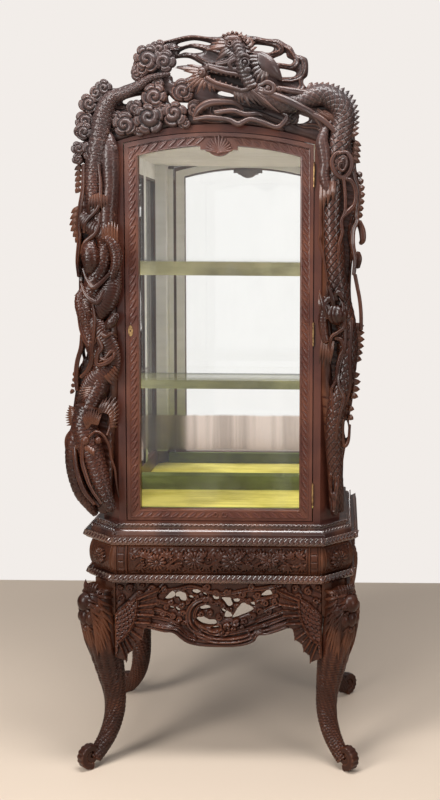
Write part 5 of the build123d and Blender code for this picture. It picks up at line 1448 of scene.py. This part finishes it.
def apron_height(u, v, d):
    rim = np.clip((396 - v) / 12, 0, 1)
    ridges = 4.5 * np.abs(np.sin(math.pi * np.clip(d, 0, 30) / 10)) ** 0.7 + 0.09 * np.clip(30 - d, 0, 30)
    leafage = np.abs(np.sin(0.11 * np.abs(u) + 0.06 * v + 1.6 * np.sin(0.07 * v - 0.03 * u))) ** 0.6
    leafage = 4.5 * leafage * np.clip((np.abs(u) - 130) / 20, 0, 1) * np.clip((v - 400) / 15, 0, 1)
    ground = 11 + 3 * np.clip(d / 5, 0, 1) ** 0.5 + ridges * rim + leafage
    strokes = [(path, 8.0, 0.45) for path in apron_strokes] + [(path, 9.0, 0.2) for path in apron_scrolls]
    return raised(u, v, ground, *strokes)


apron_back = apron_front_face - 20
apron = Carving()
plate(apron, (-apron_half, apron_foot), (apron_half, apron_head), 1.8, apron_inside, apron_height, 0,
      facing_side((0, -apron_back), (1, 0), (0, -1)))
apron.piece("wave_apron", "case", "apron_wood", ["apron_front"])

wing_low, wing_high = in_mm(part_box("wing_front_right"))
wing_span = wing_high.x - wing_low.x
wing_drop = wing_high.z - wing_low.z
wing_tips = [(1.0, 0.0), (0.95, 0.19), (0.86, 0.35), (0.79, 0.46), (0.60, 0.68), (0.40, 0.84), (0.26, 1.0)]
wing_roots = [(0.52, 0.13), (0.51, 0.23), (0.48, 0.34), (0.43, 0.45), (0.34, 0.56), (0.22, 0.66),
              (0.10, 0.73)]


def wing(towards, place):
    """Spread wing: rounded feathers by the leg, then a ribbed fin with a scalloped edge."""

    def at(share):
        return towards * wing_span * share[0], wing_high.z - wing_drop * share[1]

    tips = [at(share) for share in wing_tips]
    roots = [at(share) for share in wing_roots]
    top_edge = (0, 0.35), (0.08, 0.30), (0.25, 0.20), (0.5, 0.10), (0.78, 0.02), (1.0, -0.02)
    edge = [at(share) for share in top_edge]
    for tip, following in zip(tips, tips[1:]):
        edge += [(0.5 * (tip[0] + following[0]) - towards * 7, 0.5 * (tip[1] + following[1]) + 4), following]
    edge += [at((0.0, 0.93))]
    ribs = [np.array([(*root, 3.2), (*tip, 2.2)]) for root, tip in zip(roots, tips)]
    middles = [np.column_stack([0.5 * (a + b)[:, :2], (2.2, 1.4)]) for a, b in zip(ribs, ribs[1:])]
    border = smooth_path([(*root, 4.0) for root in roots], 4.0)[0]

    def inside(u, v):
        return outline_distance(u, v, edge)

    def height(u, v, d):
        centre = towards * -22, wing_high.z + 10
        reach = np.hypot(u - centre[0], v - centre[1])
        turn = np.arctan2(v - centre[1], towards * (u - centre[0]))
        above, below = (centre[0], wing_high.z + 60), (centre[0], wing_high.z - 200)
        over = outline_distance(u, v, [above, *roots, at((0.0, 1.05)), below])
        feathers = 6.0 + scales(10, 58, 5.0)(reach, turn, 1)
        fin = 0.5 * np.sin(reach / 1.8) + 0.5
        ground = 6 + np.where(over > 0, feathers, fin) * np.clip(d / 4, 0.2, 1)
        strokes = [(path, 9.0, 0.0) for path in ribs] + [(path, 5.5, 0.0) for path in middles]
        strokes.append((border, 9.0, 0.3))
        return np.minimum(raised(u, v, ground, *strokes), 19)

    carving = Carving()
    low = (min(0, towards * wing_span), wing_high.z - wing_drop)
    high = (max(0, towards * wing_span), wing_high.z + 2)
    plate(carving, low, high, 1.8, inside, height, 0, place)
    return carving


for side, name in ((1, "right"), (-1, "left")):
    made = wing(-side, facing_side((side * wing_high.x, -apron_front_face), (1, 0), (0, -1)))
    made.piece(f"front_wing_{name}", "case", "apron_wood", [f"wing_front_{name}"])
    for end, end_name in ((-1, "front"), (1, "rear")):
        place = facing_side((side * apron_side_face, end * -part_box("apron_right")[0].y / MM),
                            (0, side), (side, 0))
        made = wing(-end * side, place)
        made.piece(f"side_wing_{name}_{end_name}", "case", "apron_wood", [f"wing_{name}_{end_name}"])

# ---- Frieze ----

frieze_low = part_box("frieze_front")[0].z / MM
frieze_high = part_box("frieze_front")[1].z / MM
frieze_bulge = 12.0
frieze_front = -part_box("frieze_front")[0].y / MM - frieze_bulge
frieze_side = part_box("frieze_right")[1].x / MM - frieze_bulge


def on_frieze(origin, direction, outward):
    """Puts a plate's (u, v, h) on one cushion-shaped face of the frieze."""
    half = (frieze_high - frieze_low) / 2
    circle = (half**2 + frieze_bulge**2) / (2 * frieze_bulge)

    def place(u, v, h):
        rise = np.sqrt(np.maximum(circle**2 - (v - frieze_low - half) ** 2, 0)) - circle + frieze_bulge
        return facing_side(origin, direction, outward)(u, v, rise + h)

    return place


def flower(u, v, centre, radius, petals):
    """Relief of an open flower with notched petals and a round heart."""
    reach = np.hypot(u - centre[0], (v - centre[1]) * 1.15) / radius
    turn = np.arctan2(v - centre[1], u - centre[0])
    rim = 0.80 + 0.20 * np.abs(np.cos(0.5 * petals * turn))
    petal = (0.35 + 0.65 * np.abs(np.cos(0.5 * petals * turn)) ** 0.6) * np.sin(np.clip(reach, 0, 1) * 2.4)
    heart = 1.3 * round_top(reach / 0.26)
    return np.where(reach < rim, np.maximum(0.35 + petal, heart), 0)


def leaf_spray(centre, turn, size):
    """Pointed leaves fanned out from one stalk, as stroke paths."""
    paths = []
    for angle in np.radians(turn + np.linspace(-62, 62, 5)):
        tip = size * (1 - 0.25 * abs(math.sin(angle - math.radians(turn))))
        stops = [(0.0, 0.05), (0.45, 0.16), (0.75, 0.13), (1.0, 0.02)]
        run = tip * np.array([math.cos(angle), math.sin(angle)])
        paths.append([(*(centre + s * run), size * w) for s, w in stops])
    return paths


def frieze_panel(half, place, seed):
    """Panel of flowers and leaves in a border, with a banded pilaster at each end."""
    chance = np.random.default_rng(seed)
    middle = (frieze_low + frieze_high) / 2
    spots = np.arange(-half + 26, half - 20, 24.0) if half > 60 else np.array([0.0])
    flowers = []
    strokes = []
    for number, spot in enumerate(spots):
        rise = middle + (9 if number % 2 else -9) + chance.uniform(-3, 3)
        if number % 4 == 2 or len(spots) == 1:
            flowers.append(((spot, middle + chance.uniform(-4, 4)), 25 + chance.uniform(-2, 3), 13))
        else:
            turn = chance.uniform(20, 160) if number % 2 else -chance.uniform(20, 160)
            strokes += leaf_spray((spot, rise), turn, 25)
            strokes += leaf_spray((spot + 8, 2 * middle - rise), -turn, 22)
            eye = spot - 12, middle + chance.uniform(-16, 16)
            strokes.append(scroll(eye, 8, 360 * chance.random(), 1.1, 1, 0.3))
    strokes.append([(x, middle + 13 * math.sin(x / 18), 2.8) for x in np.arange(-half + 16, half - 10, 5.0)])
    strokes = [(np.asarray(path, float), 6.4, 0.35) for path in strokes]
    pilaster_middle, pilaster_end = half + 18, half + 34
    pilasters = [pilaster_middle, -pilaster_middle] if half > 60 else []
    wide = pilaster_end if pilasters else half

    def inside(u, v):
        return both(wide - np.abs(u), v - frieze_low - 1.5, frieze_high - 1.5 - v)

    def height(u, v, d):
        level = np.sin(0.42 * u + 1.7 * np.sin(0.21 * v)) * np.sin(0.38 * v + 1.3 * np.sin(0.17 * u))
        level = 0.9 + 0.8 * level
        level = raised(u, v, level, *strokes) if half > 60 else level + np.zeros_like(u)
        for centre, radius, petals in flowers:
            level = np.maximum(level, 6.4 * flower(u, v, centre, radius, petals))
        frame = np.minimum(half - np.abs(u), np.minimum(v - frieze_low, frieze_high - v) - 3.5)
        level = np.where(frame < 4, 2.2 * round_top((frame - 2) / 2.2), level)
        for centre in pilasters:
            away = np.abs(u - centre)
            key = 1.6 * (np.abs(np.sin((v - frieze_low) * math.pi / 19)) > 0.35) * (away < 7)
            strip = 1.8 + np.where(away < 11, key - 1.2, 1.2)
            level = np.where(away < 15, strip, level)
        return level

    carving = Carving()
    plate(carving, (-wide, frieze_low), (wide, frieze_high), 1.7, inside, height, -1.5, place)
    return carving


cant_start, cant_depth = 265.2, 67.8
cant_middle = (frieze_side + cant_start) / 2, (frieze_front + frieze_front - cant_depth) / 2
front_panel = frieze_panel(229, on_frieze((0, -frieze_front), (1, 0), (0, -1)), 3)
front_panel.piece("frieze_flowers_front", "case", "frieze_wood")
for side, name in ((1, "right"), (-1, "left")):
    face = on_frieze((side * frieze_side, 40), (0, side), (side, 0))
    frieze_panel(176, face, 5 + side).piece(f"frieze_flowers_{name}", "case", "frieze_wood")
    face = on_frieze((side * cant_middle[0], -cant_middle[1]), (half, side * half), (side * half, -half))
    frieze_panel(44, face, 9 + side).piece(f"frieze_flowers_cant_{name}", "case", "frieze_wood")

# ---- Rows of leaves and beads ----


def rows_tree():
    """Tree that stands a unit along runs, turned to each run's facing and lean."""
    tree = bpy.data.node_groups.new("rows_along_runs", "GeometryNodeTree")

    def add(kind, settings=None, values=None):
        """Adds a node; values are numbers, or (node, output) pairs to link."""
        made = tree.nodes.new(kind)
        for key, value in (settings or {}).items():
            setattr(made, key, value)
        for key, value in (values or {}).items():
            if isinstance(value, tuple) and isinstance(value[0], bpy.types.Node):
                tree.links.new(value[0].outputs[value[1]], made.inputs[key])
            else:
                made.inputs[key].default_value = value
        return made

    names = {}
    labels = {"Runs": "Geometry", "Unit": "Object", "Spacing": "Float", "Size": "Vector", "Wood": "Material"}
    for label, kind in labels.items():
        socket = tree.interface.new_socket(label, in_out="INPUT", socket_type=f"NodeSocket{kind}")
        names[label] = socket.identifier
    tree.interface.new_socket("Rows", in_out="OUTPUT", socket_type="NodeSocketGeometry")
    given = add("NodeGroupInput")
    line = add("GeometryNodeMeshToCurve", {}, {"Mesh": (given, "Runs")})
    by_length = {"Curve": (line, 0), "Length": (given, "Spacing")}
    even = add("GeometryNodeResampleCurve", {"mode": "LENGTH"}, by_length)
    facing = add("GeometryNodeInputNamedAttribute", {"data_type": "FLOAT_VECTOR"}, {"Name": "facing"})
    lean = add("GeometryNodeInputNamedAttribute", {"data_type": "FLOAT"}, {"Name": "lean"})
    tangent = add("GeometryNodeInputTangent")
    axes = {"primary_axis": "Z", "secondary_axis": "X"}
    stand = add("FunctionNodeAxesToRotation", axes, {0: (facing, 0), 1: (tangent, 0)})
    swing = add("FunctionNodeAxisAngleToRotation", {}, {"Axis": (0, 0, 1), "Angle": (lean, 0)})
    turned = add("FunctionNodeRotateRotation", {"rotation_space": "LOCAL"}, {0: (stand, 0), 1: (swing, 0)})
    unit_mesh = add("GeometryNodeObjectInfo", {}, {"Object": (given, "Unit")})
    rows = add("GeometryNodeInstanceOnPoints", {}, {
        "Points": (even, 0), "Instance": (unit_mesh, "Geometry"),
        "Rotation": (turned, 0), "Scale": (given, "Size"),
    })
    solid = add("GeometryNodeRealizeInstances", {}, {"Geometry": (rows, 0)})
    finished = add("GeometryNodeSetMaterial", {}, {"Geometry": (solid, 0), "Material": (given, "Wood")})
    add("NodeGroupOutput", {}, {"Rows": (finished, 0)})
    return tree, names


row_tree, row_inputs = rows_tree()


def row_piece(name, body, slot, shape, size, spacing, runs):
    """Piece of one shape repeated along runs of (points, facing, lean)."""
    points, edges, facings, leans = [], [], [], []
    for line, facing, lean in runs:
        first = len(points)
        points += [tuple(MM * c for c in point) for point in line]
        edges += [(first + i, first + i + 1) for i in range(len(line) - 1)]
        facings += list(facing) * len(line)
        leans += [math.radians(lean)] * len(line)
    path = bpy.data.meshes.new(f"{name}_runs")
    path.from_pydata(points, edges, [])
    path.attributes.new("facing", "FLOAT_VECTOR", "POINT").data.foreach_set("vector", facings)
    path.attributes.new("lean", "FLOAT", "POINT").data.foreach_set("value", leans)
    made = placed(name, path)
    rows = made.modifiers.new("rows", "NODES")
    rows.node_group = row_tree
    for label, value in (("Unit", shape), ("Spacing", spacing * MM), ("Size", [c * MM for c in size]),
                         ("Wood", slot_finish[slot])):
        rows[row_inputs[label]] = value
    depsgraph = bpy.context.evaluated_depsgraph_get()
    mesh = bpy.data.meshes.new_from_object(made.evaluated_get(depsgraph))
    made.modifiers.remove(rows)
    made.data = mesh
    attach(made, body)
    return made


def leaf_unit(bend):
    """Pointed leaf one unit long and wide, with a hollow along its rib, bent to one side."""
    s, t = np.meshgrid(np.linspace(0, 1, 9), np.linspace(-1, 1, 7), indexing="ij")
    half_width = 0.02 + 0.48 * np.sin(math.pi * np.clip(s, 0.001, 0.999) ** 0.8) ** 0.8
    x = s - 0.5
    y = t * half_width + bend * np.sin(math.pi * s)
    z = (0.25 + 0.75 * s) * np.sqrt(1.02 - t**2) - 0.30 * bell(t, 0.3) * np.sin(math.pi * s)
    top_points = np.stack([x, y, z], -1).reshape(-1, 3)
    low_points = np.stack([x, y, np.full_like(z, -0.4)], -1).reshape(-1, 3)
    index = np.arange(s.size).reshape(s.shape)
    front = np.stack([index[:-1, :-1], index[1:, :-1], index[1:, 1:], index[:-1, 1:]], -1).reshape(-1, 4)
    rim = np.concatenate([index[:-1, 0], index[-1, :-1], index[:0:-1, -1], index[0, :0:-1]])
    ahead = np.roll(rim, -1)
    walls = np.stack([rim + s.size, ahead + s.size, ahead, rim], -1)
    carving = Carving()
    carving.add(np.vstack([top_points, low_points]) / MM, front, front[:, ::-1] + s.size, walls)
    return carving


# Loose units, each a metre long, that the rows scale down and repeat.
leaf_left = leaf_unit(0.16).piece("leaf_left", "case", "door_wood", riding=False)
leaf_right = leaf_unit(-0.16).piece("leaf_right", "case", "door_wood", riding=False)
bead_ball = Carving()
ball(bead_ball, (0, 0, 0), (500, 500, 500), 8, 6)
bead = bead_ball.piece("bead", "case", "door_wood", riding=False)

# Leaf rope round the door: up both stiles, out from the shell and the bottom scrolls.
door_low, door_high = in_mm((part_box("door_stile_left")[0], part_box("door_stile_right")[1]))
door_half = door_high.x
stile = door_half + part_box("door_stile_left")[1].x / MM
band_share, arch_share = 0.58, 0.62
band_middle = door_half - band_share * stile
rail_front = case_front - 0.3
rail_low, rail_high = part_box("door_bottom_rail")
rail_middle = rail_low.z / MM + band_share * (rail_high.z - rail_low.z) / MM
shoulder = door_high.z - arch_share * stile
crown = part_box("door_top_rail")[1].z / MM - arch_share * stile


def rail_arc(start, end):
    """Points along the top rail's middle line between two places across the door."""
    places = np.linspace(start, end, 24)
    return [(x, -rail_front, crown - (crown - shoulder) * (x / band_middle) ** 2) for x in places]


front_facing = (0, -1, 0)
lock_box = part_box("escutcheon")
for side, leaf_shape, name in ((1, leaf_right, "right"), (-1, leaf_left, "left")):
    lean = side * 33
    lock_low, lock_high = (lock_box[end].z / MM for end in (0, 1))
    spans = [(rail_middle + 16, shoulder - 8)]
    if side < 0:
        spans = [(rail_middle + 16, lock_low - 14), (lock_high + 14, shoulder - 8)]
    runs = [([(side * band_middle, -rail_front, z) for z in span], front_facing, lean) for span in spans]
    foot_run = [(side * x, -rail_front, rail_middle) for x in (26, band_middle - 12)]
    runs += [
        (rail_arc(side * 48, side * (band_middle - 10)), front_facing, 180 - lean),
        (foot_run, front_facing, -lean),
    ]
    row_piece(f"door_leaves_{name}", "door", "door_wood", leaf_shape, (30, 13, 4.6), 20.5, runs)

door_trim = Carving()
for inset, width in ((0.30, 1.3), (0.36, 0.9), (0.90, 1.6)):
    reach = door_half - inset * stile
    foot = door_low.z + inset * (rail_middle - door_low.z) / band_share
    head = door_high.z - inset * stile
    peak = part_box("door_top_rail")[1].z / MM - inset * stile
    places = np.linspace(reach, -reach, 15)
    arc = [(x, -case_front, peak - (peak - head) * (x / reach) ** 2, width) for x in places]
    for line in (
        [(-reach, -case_front, foot, width), (reach, -case_front, foot, width)],
        *[[(side * reach, -case_front, z, width) for z in (foot, head)] for side in (1, -1)],
        arc if inset < 0.5 else arc[:6], arc if inset < 0.5 else arc[9:],
    ):
        tube(door_trim, line, 12.0, 8)
shell_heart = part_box("door_top_rail")[0].z / MM + 8
for angle in np.radians(np.linspace(-78, 78, 13)):
    length = 44 - 12 * abs(math.sin(angle))
    tip = (length * 1.05 * math.sin(angle), -case_front - 1, shell_heart + length * math.cos(angle))
    root = (4 * math.sin(angle), -case_front - 1.5, shell_heart + 4 * math.cos(angle))
    tube(door_trim, [(*root, 1.5), (*(0.5 * (np.array(root) + tip)), 3.2), (*tip, 2.6)], 3.0, 10, 0.8)
ball(door_trim, (0, -case_front - 1, shell_heart), (6, 4, 5), 16, 10)
for side in (-1, 1):
    rolled(door_trim, case_front + 1, scroll((side * 11, rail_middle), 10, 90 - side * 90, 1.3, -side, 0.26))
door_trim.piece("door_shell_and_fillets", "door", "door_wood")


def plan_runs(half_width, half_depth, cant, level, lean, inset, upward=0.0):
    """Runs round a board with canted front corners, one for each side; upward tips them up."""
    x, y, c = half_width - inset, half_depth - inset, cant - 0.6 * inset
    corners = [(-x, y), (-x, -y + c), (-x + c, -y), (x - c, -y), (x, -y + c), (x, y)]
    runs = []
    for (ax, ay), (bx, by) in zip(corners, corners[1:]):
        run = unit(np.array([bx - ax, by - ay]))
        runs.append(([(ax, ay, level), (bx, by, level)], (run[1], -run[0], upward), lean))
    return runs


for name, cant, inset in (("lower_board", 76, 1.5), ("upper_board", 84, 1.5)):
    low, high = in_mm(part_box(name))
    level = (low.z + high.z) / 2 + 3
    board_runs = plan_runs(high.x, high.y, cant, level, 40, inset, 0.6)
    row_piece(f"{name}_leaves", "case", "moulding_wood", leaf_left, (22, 16, 8.0), 13.0, board_runs)
bead_low, bead_high = in_mm(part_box("bead_moulding"))
bead_runs = plan_runs(bead_high.x, -bead_low.y, 66, (bead_low.z + bead_high.z) / 2 + 2, 0, -0.6)
row_piece("bead_row", "case", "moulding_wood", bead, (11.0, 8.6, 8.6), 12.4, bead_runs[1:4])
ovolo_low, ovolo_high = in_mm(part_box("ovolo_moulding"))
ovolo_runs = plan_runs(ovolo_high.x, -ovolo_low.y, 72, (ovolo_low.z + ovolo_high.z) / 2 + 1, 82, 3.0)
ovolo_runs = [ovolo_runs[0], ovolo_runs[1], ovolo_runs[3], ovolo_runs[4]]
row_piece("ovolo_leaves", "case", "moulding_wood", leaf_right, (17, 12, 3.5), 11.0, ovolo_runs)
for loose in (leaf_left, leaf_right, bead):
    bpy.data.objects.remove(loose)

# ---- Cloth lining inside ----

inner_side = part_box("side_frame_right")[0].x / MM - 0.2
door_back = -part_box("door_stile_left")[1].y / MM - 0.1
post_back = -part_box("front_post_right")[1].y / MM - 0.1
post_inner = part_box("front_post_right")[0].x / MM - 0.1
lining_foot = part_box("floor_bars")[1].z / MM + 4
lining_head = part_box("case_ceiling")[0].z / MM - 0.1
glass_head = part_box("side_glass_right")[1].z / MM + 1


def sheet(carving, x, y, z):
    """Thin sheet of lining between pairs of x, y and z."""
    (ax, bx), (ay, by) = sorted(x), sorted(y)
    prism(carving, [(ax, ay), (bx, ay), (bx, by), (ax, by)], z[0], z[1], 0.2)


mirror_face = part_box("mirror_plates")[0].y / MM
stile_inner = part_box("case_stile_right")[0].x / MM + 1
cloth, mid_stile, stile_height = 0.8, (39, 71), 960
full_height = lining_foot, lining_head - 1
ceiling_span = lining_head - cloth, lining_head
case_lining = Carving()
sheet(case_lining, (-inner_side, inner_side), (-door_back + 1, mirror_face - 1), ceiling_span)
for side in (-1, 1):
    post_edge = side * (post_inner - cloth), side * post_inner
    side_face = side * (inner_side - cloth), side * inner_side
    stile_face = side * stile_inner, side * post_inner
    sheet(case_lining, (side * post_inner, side * inner_side), (-post_back, -post_back + cloth), full_height)
    sheet(case_lining, post_edge, (-door_back + 1, -post_back + cloth), full_height)
    sheet(case_lining, stile_face, (-door_back, -door_back + cloth), (lining_foot, door_low.z + stile_height))
    sheet(case_lining, side_face, (-post_back + 1, 180), (glass_head, lining_head - 1))
    sheet(case_lining, side_face, mid_stile, (lining_foot, glass_head))
case_lining.piece("case_lining", "case", "bar_cloth").data.materials[0] = lining

door_stops = Carving()
for side in (-1, 1):
    gap = side * (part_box("door_stile_right")[1].x / MM - 3), side * stile_inner
    sheet(door_stops, gap, (-door_back + 0.9, -door_back + 1.7), (lining_foot, door_high.z - 40))
door_stops.piece("door_stops", "case", "case_wood")

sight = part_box("door_stile_right")[0].x / MM + 0.8
sight_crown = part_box("door_top_rail")[1].z / MM - 27
sight_rise, lining_rise = 29, 26


def door_lining_inside(u, v):
    opening = both(sight - np.abs(u), sight_crown - sight_rise * (u / sight) ** 2 - v)
    head = door_high.z + 22 - lining_rise * (u / sight) ** 2
    frame_edge = both(door_half - 5 - np.abs(u), head - v, v - lining_foot)
    return both(frame_edge, -opening)


def door_lining_height(u, v, d):
    return cloth + 0.1 * np.sin(u) * np.sin(v)


door_lining = Carving()
plate(door_lining, (-door_half, lining_foot), (door_half, door_high.z + 24), 4.0, door_lining_inside,
      door_lining_height, 0, facing_side((0, -door_back), (-1, 0), (0, 1)))
door_lining.piece("door_lining", "door", "bar_cloth").data.materials[0] = lining
